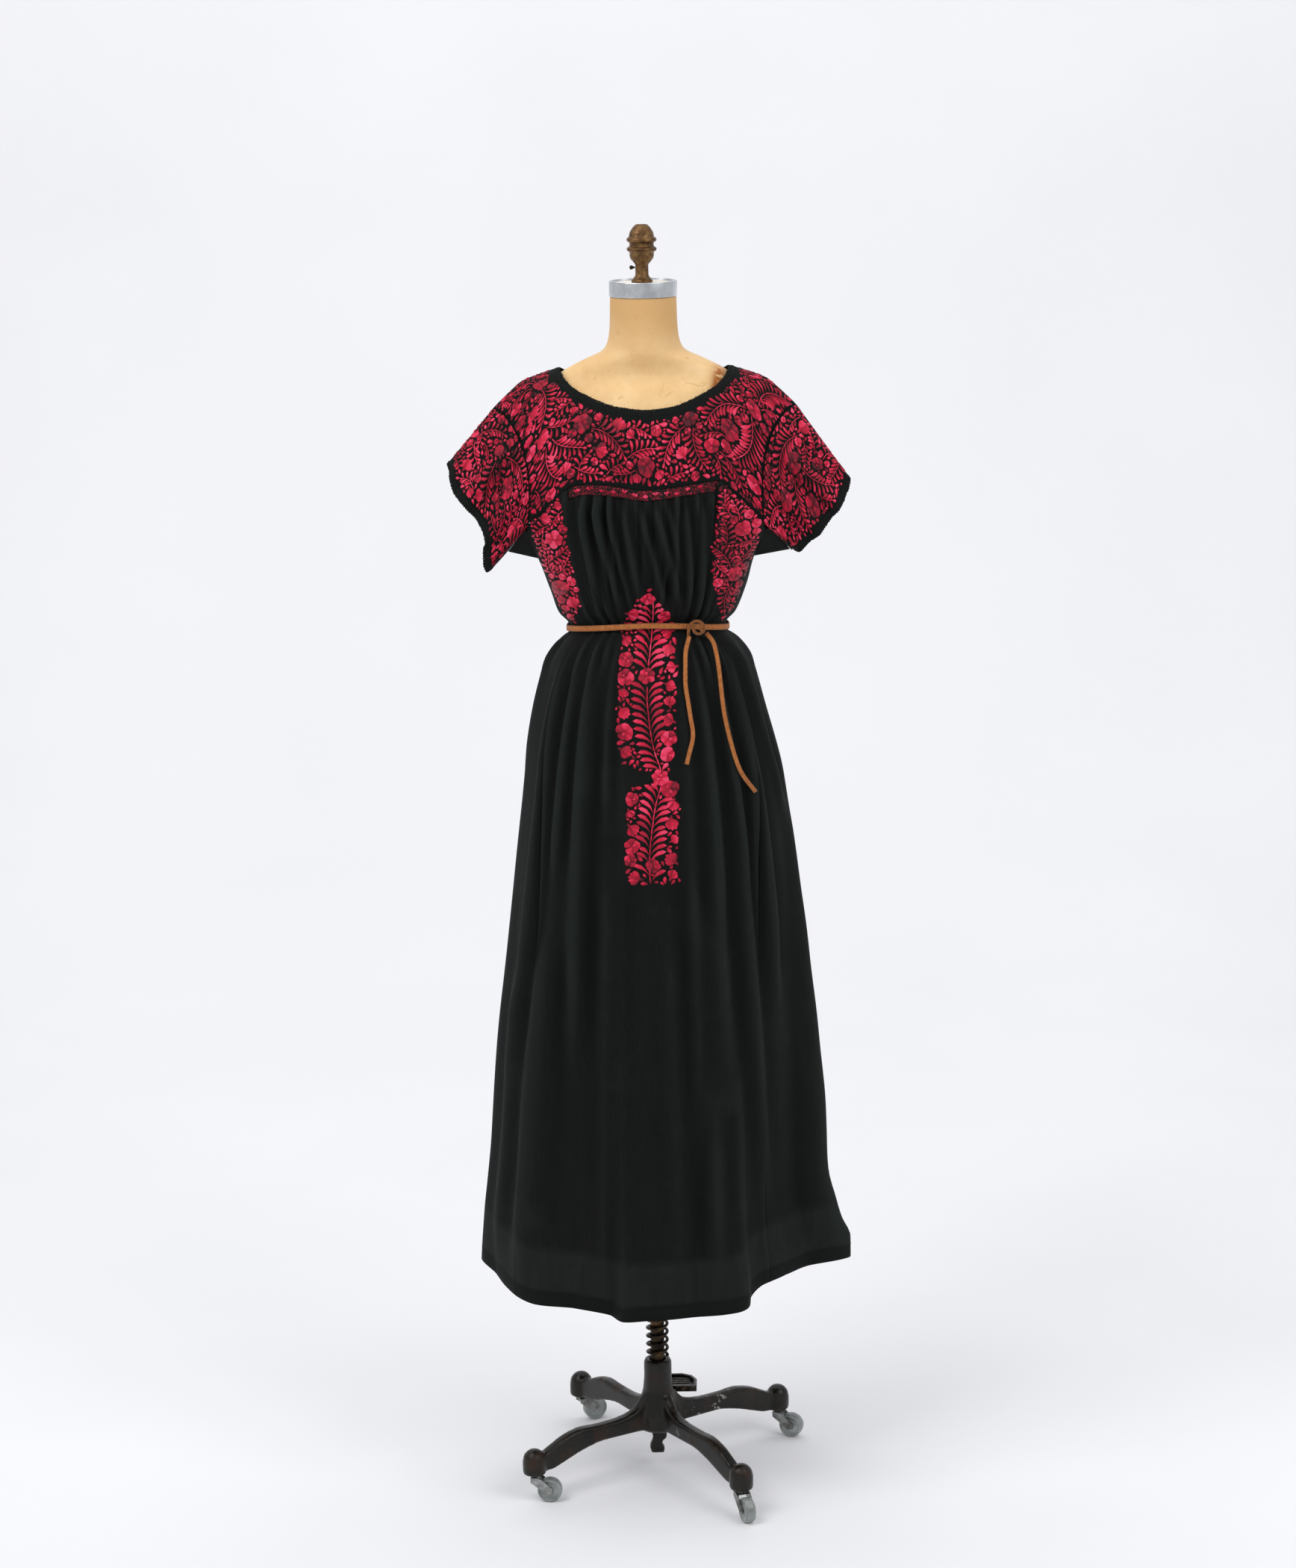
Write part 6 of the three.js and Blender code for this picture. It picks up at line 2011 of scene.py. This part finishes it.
# Distance from the column, top, bottom and width of a leg.
LEG = [
    (12, 124, 62, 17), (25, 115, 63, 17), (40, 99, 64, 17), (66, 91, 65, 17.4),
    (100, 90, 65.5, 17.4), (134, 91.5, 58.5, 17.4), (160, 86, 50, 17.2), (184, 75, 42.5, 17),
    (206, 64, 42, 16.5),
]
CAP = [(0.5, 41.2), (15.5, 41.2), (16.8, 43), (17, 60), (15, 68.8), (10, 74.9), (5, 77.3), (0.5, 77.8)]
LATCH = [(-12, 62), (12, 62), (12, 44), (5, 40), (5, 33), (9, 30), (8, 22), (-11, 22), (-13, 32), (-8, 44)]


def leg_part(turn):
    """Points and faces of one leg, a rounded bar between its top and bottom lines."""
    x = np.linspace(12, 206, 60)
    top, low, wide = (curve(LEG, x, k) for k in (1, 2, 3))
    angle = np.arange(24) * math.pi / 12
    a = np.sign(np.cos(angle)) * np.abs(np.cos(angle)) ** 0.3
    b = np.sign(np.sin(angle)) * np.abs(np.sin(angle)) ** 0.3
    across = a * wide[:, None] / 2
    z = (top + low)[:, None] / 2 + b * (top - low)[:, None] / 2
    c, s = math.cos(turn), math.sin(turn)
    grid = np.stack([x[:, None] * c - across * s, x[:, None] * s + across * c, z], -1)
    return grid.reshape(-1, 3), ring_faces(60, 24)


def extruded(profile, low, high):
    """Points and faces of an x-z outline given depth along y."""
    n = len(profile)
    points = [(x, low, z) for x, z in profile] + [(x, high, z) for x, z in profile]
    faces = [[k, (k + 1) % n, n + (k + 1) % n, n + k] for k in range(n)]
    return np.array(points, float), faces + [list(range(n))[::-1], [n + k for k in range(n)]]


class DRESS_OT_stand(bpy.types.Operator):
    """Make the cast base and the coil spring, and finish the column and the pedal"""
    bl_idname = "dress.stand"
    bl_label = "Base and column"

    def execute(self, context):
        parts = [revolved(HUB, 48), extruded(LATCH, -3.5, 11.5)]
        for k in range(4):
            turn = -LEG_TURN + k * math.pi / 2
            parts.append(leg_part(turn))
            parts.append(revolved(CAP, 40, (LEG_REACH * math.cos(turn), LEG_REACH * math.sin(turn))))
        base = join_parts("cast_base", parts, iron())
        cast = base.modifiers.new("cast", "REMESH")
        cast.mode, cast.voxel_size = "VOXEL", stand_settings().cast_grain
        cast.use_smooth_shade = True
        even = base.modifiers.new("even", "SMOOTH")
        even.factor, even.iterations = 0.5, 5
        plain = made_plain(base)
        if not plain.materials:
            plain.materials.append(iron())
        corners = np.zeros(len(plain.vertices) * 3, np.float32)
        plain.vertices.foreach_get("co", corners)
        x, y, z = (corners.reshape(-1, 3) / MM).T
        reach, heading = np.hypot(x, y), np.degrees(np.arctan2(y, x))
        worn = np.exp(-((heading - 33) / 14) ** 2) * smooth(reach, 45, 60) * (1 - smooth(reach, 130, 150))
        worn = np.maximum(worn, np.exp(-((heading + 57) / 10) ** 2 - ((reach - 62) / 10) ** 2))
        chips = plain.attributes.new("chips", "FLOAT", "POINT")
        chips.data.foreach_set("value", worn.astype(np.float32))
        settle(base, "stand", "cast_iron", "base")
        steps = np.arange(12 * 26 + 1) / (12 * 26)
        turn = steps * 12 * 2 * math.pi
        path = np.stack([
            COIL_R * np.cos(turn), COIL_R * np.sin(turn),
            mix(SPRING_BOTTOM + WIRE_R, SPRING_TOP - WIRE_R, steps)
        ], -1)
        spring = join_parts("coil_spring", [tube(path, WIRE_R, 8)],
                            finish_of("oiled_spring_steel", spring_finish))
        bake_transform(spring)
        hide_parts("column_spring")
        coat("pole", bpy.data.materials["oiled_spring_steel"])
        coat("foot_pedal", iron())
        return {"FINISHED"}


WHEEL = [
    (3.2, -6.2), (6.4, -7.1), (7.6, -7.3), (8.6, -5.8), (13.2, -5.8), (14.4, -7.3),
    (16.3, -6.9), (17.3, -5.2), (17.5, -3), (17.5, 3), (17.3, 5.2), (16.3, 6.9), (14.4, 7.3),
    (13.2, 5.8), (8.6, 5.8), (7.6, 7.3), (6.4, 7.1), (3.2, 6.2), (3.2, -6.2),
]


class DRESS_OT_casters(bpy.types.Operator):
    """Make the four wheels and finish the forks that hold them"""
    bl_idname = "dress.casters"
    bl_label = "Casters"

    def execute(self, context):
        plated = finish_of("dulled_zinc_plate", plated_finish)
        smoky = finish_of("smoky_clear_plastic", wheel_finish)
        for corner, (leg, heading) in CASTERS.items():
            turn = -LEG_TURN + leg * math.pi / 2
            yaw = math.radians(heading)
            axle = np.array([
                LEG_REACH * math.cos(turn) + TRAIL * math.cos(yaw),
                LEG_REACH * math.sin(turn) + TRAIL * math.sin(yaw), WHEEL_R,
            ])
            points, faces = revolved(WHEEL, 56)
            along = np.array([math.cos(yaw), math.sin(yaw), 0.0])
            across = np.array([-math.sin(yaw), math.cos(yaw), 0.0])
            spun = (axle + points[:, :1] * along + points[:, 1:2] * np.array([0, 0, 1.0])
                    - points[:, 2:] * across)
            wheel = join_parts(f"rolling_wheel_{corner}", [(spun, faces)], smoky)
            settle(wheel, f"wheel_{corner}", "wheel_plastic", f"caster_wheel_{corner}")
            coat(f"caster_fork_{corner}", plated)
        return {"FINISHED"}


# ---- the studio --------------------------------------------------------------
def soft_light(name, place, target, size, watts, colour="#ffffff"):
    data = bpy.data.lights.new(name, "AREA")
    data.shape, data.size, data.size_y = "RECTANGLE", size[0], size[1]
    data.energy, data.color = watts, linear(colour)[:3]
    obj = bpy.data.objects.new(name, data)
    obj.location = place
    obj.rotation_euler = (Vector(target) - Vector(place)).to_track_quat("-Z", "Y").to_euler()
    bpy.context.scene.collection.objects.link(obj)


class DRESS_OT_camera(bpy.types.Operator):
    """Set the camera before the dress, a little above it and looking down"""
    bl_idname = "dress.camera"
    bl_label = "Camera"

    def execute(self, context):
        data = bpy.data.cameras.new("camera")
        data.sensor_width, data.lens = 36.0, 81.52
        data.clip_start, data.clip_end = 0.1, 60.0
        obj = bpy.data.objects.new("camera", data)
        tilt, roll = math.radians(90 - 12.33), -0.0138
        turn = Euler((tilt, 0, 0)).to_matrix() @ Euler((0, 0, roll)).to_matrix()
        obj.rotation_euler = turn.to_euler()
        obj.location = (-0.0025, -4.8249, 2.0686)
        context.scene.collection.objects.link(obj)
        context.scene.camera = obj
        return {"FINISHED"}


class DRESS_OT_studio(bpy.types.Operator):
    """Make the white cove, the soft lights and the sky of the studio"""
    bl_idname = "dress.studio"
    bl_label = "Studio"

    def execute(self, context):
        run = [(-9.0, 0.0), (2.2, 0.0)]
        run += [(2.2 + 1.6 * math.sin(a), 1.6 - 1.6 * math.cos(a)) for a in np.linspace(0.1, math.pi / 2, 12)]
        run.append((3.8, 7.0))
        points = [(x, y, z) for y, z in run for x in (-8.0, 8.0)]
        faces = [(2 * k, 2 * k + 1, 2 * k + 3, 2 * k + 2) for k in range(len(run) - 1)]
        finish = finish_of("matt_white_paint", backdrop_finish, stand_settings().backdrop)
        cove = make_mesh("studio_cove", np.array(points) / MM, faces, finish)
        soft_light("key_light", (-2.3, -1.9, 4.2), (0, 0, 0.9), (2.4, 2.4), 78)
        soft_light("fill_light", (2.6, -2.2, 3.4), (0, 0, 0.8), (2.2, 2.2), 44)
        soft_light("backdrop_light", (0, 1.0, 4.8), (0, 3.6, 1.4), (5.0, 1.4), 48)
        sky = bpy.data.worlds.new("studio_sky")
        sky.use_nodes = True
        light = sky.node_tree.nodes["Background"]
        light.inputs["Color"].default_value = linear("#f7f8fb")
        light.inputs["Strength"].default_value = 0.66
        context.scene.world = sky
        context.scene.view_settings.view_transform = "Standard"
        return {"FINISHED"}


STEPS = (
    ("camera", "Camera"), ("belt", "Belt"), ("body", "Dress panels"), ("yoke", "Yoke"),
    ("sleeves", "Sleeves"), ("edgings", "Edgings"), ("embroidery", "Embroidery"),
    ("form", "Form"), ("stand", "Base and column"), ("casters", "Casters"), ("studio", "Studio"),
)


class DRESS_PT_parts(bpy.types.Panel):
    """The parts of the dress and its form, in the order that they are made"""
    bl_idname = "DRESS_PT_parts"
    bl_label = "Embroidered dress"
    bl_space_type = "VIEW_3D"
    bl_region_type = "UI"
    bl_category = "Dress"

    def draw(self, context):
        for group in (context.scene.dress_cloth, context.scene.dress_stand):
            for name in group.bl_rna.properties.keys():
                if name not in ("rna_type", "name"):
                    self.layout.prop(group, name)
        for name, label in STEPS:
            self.layout.operator(f"dress.{name}", text=label)


CLASSES = (
    DressClothSettings, DressStandSettings, DRESS_OT_camera, DRESS_OT_belt, DRESS_OT_body,
    DRESS_OT_yoke, DRESS_OT_sleeves, DRESS_OT_edgings, DRESS_OT_embroidery, DRESS_OT_form,
    DRESS_OT_stand, DRESS_OT_casters, DRESS_OT_studio, DRESS_PT_parts,
)


def register():
    for kind in CLASSES:
        bpy.utils.register_class(kind)
    bpy.types.Scene.dress_cloth = bpy.props.PointerProperty(type=DressClothSettings)
    bpy.types.Scene.dress_stand = bpy.props.PointerProperty(type=DressStandSettings)


def unregister():
    del bpy.types.Scene.dress_stand
    del bpy.types.Scene.dress_cloth
    for kind in reversed(CLASSES):
        bpy.utils.unregister_class(kind)


def main():
    register()
    for name, _ in STEPS:
        getattr(bpy.ops.dress, name)()


if __name__ == "__main__":
    main()
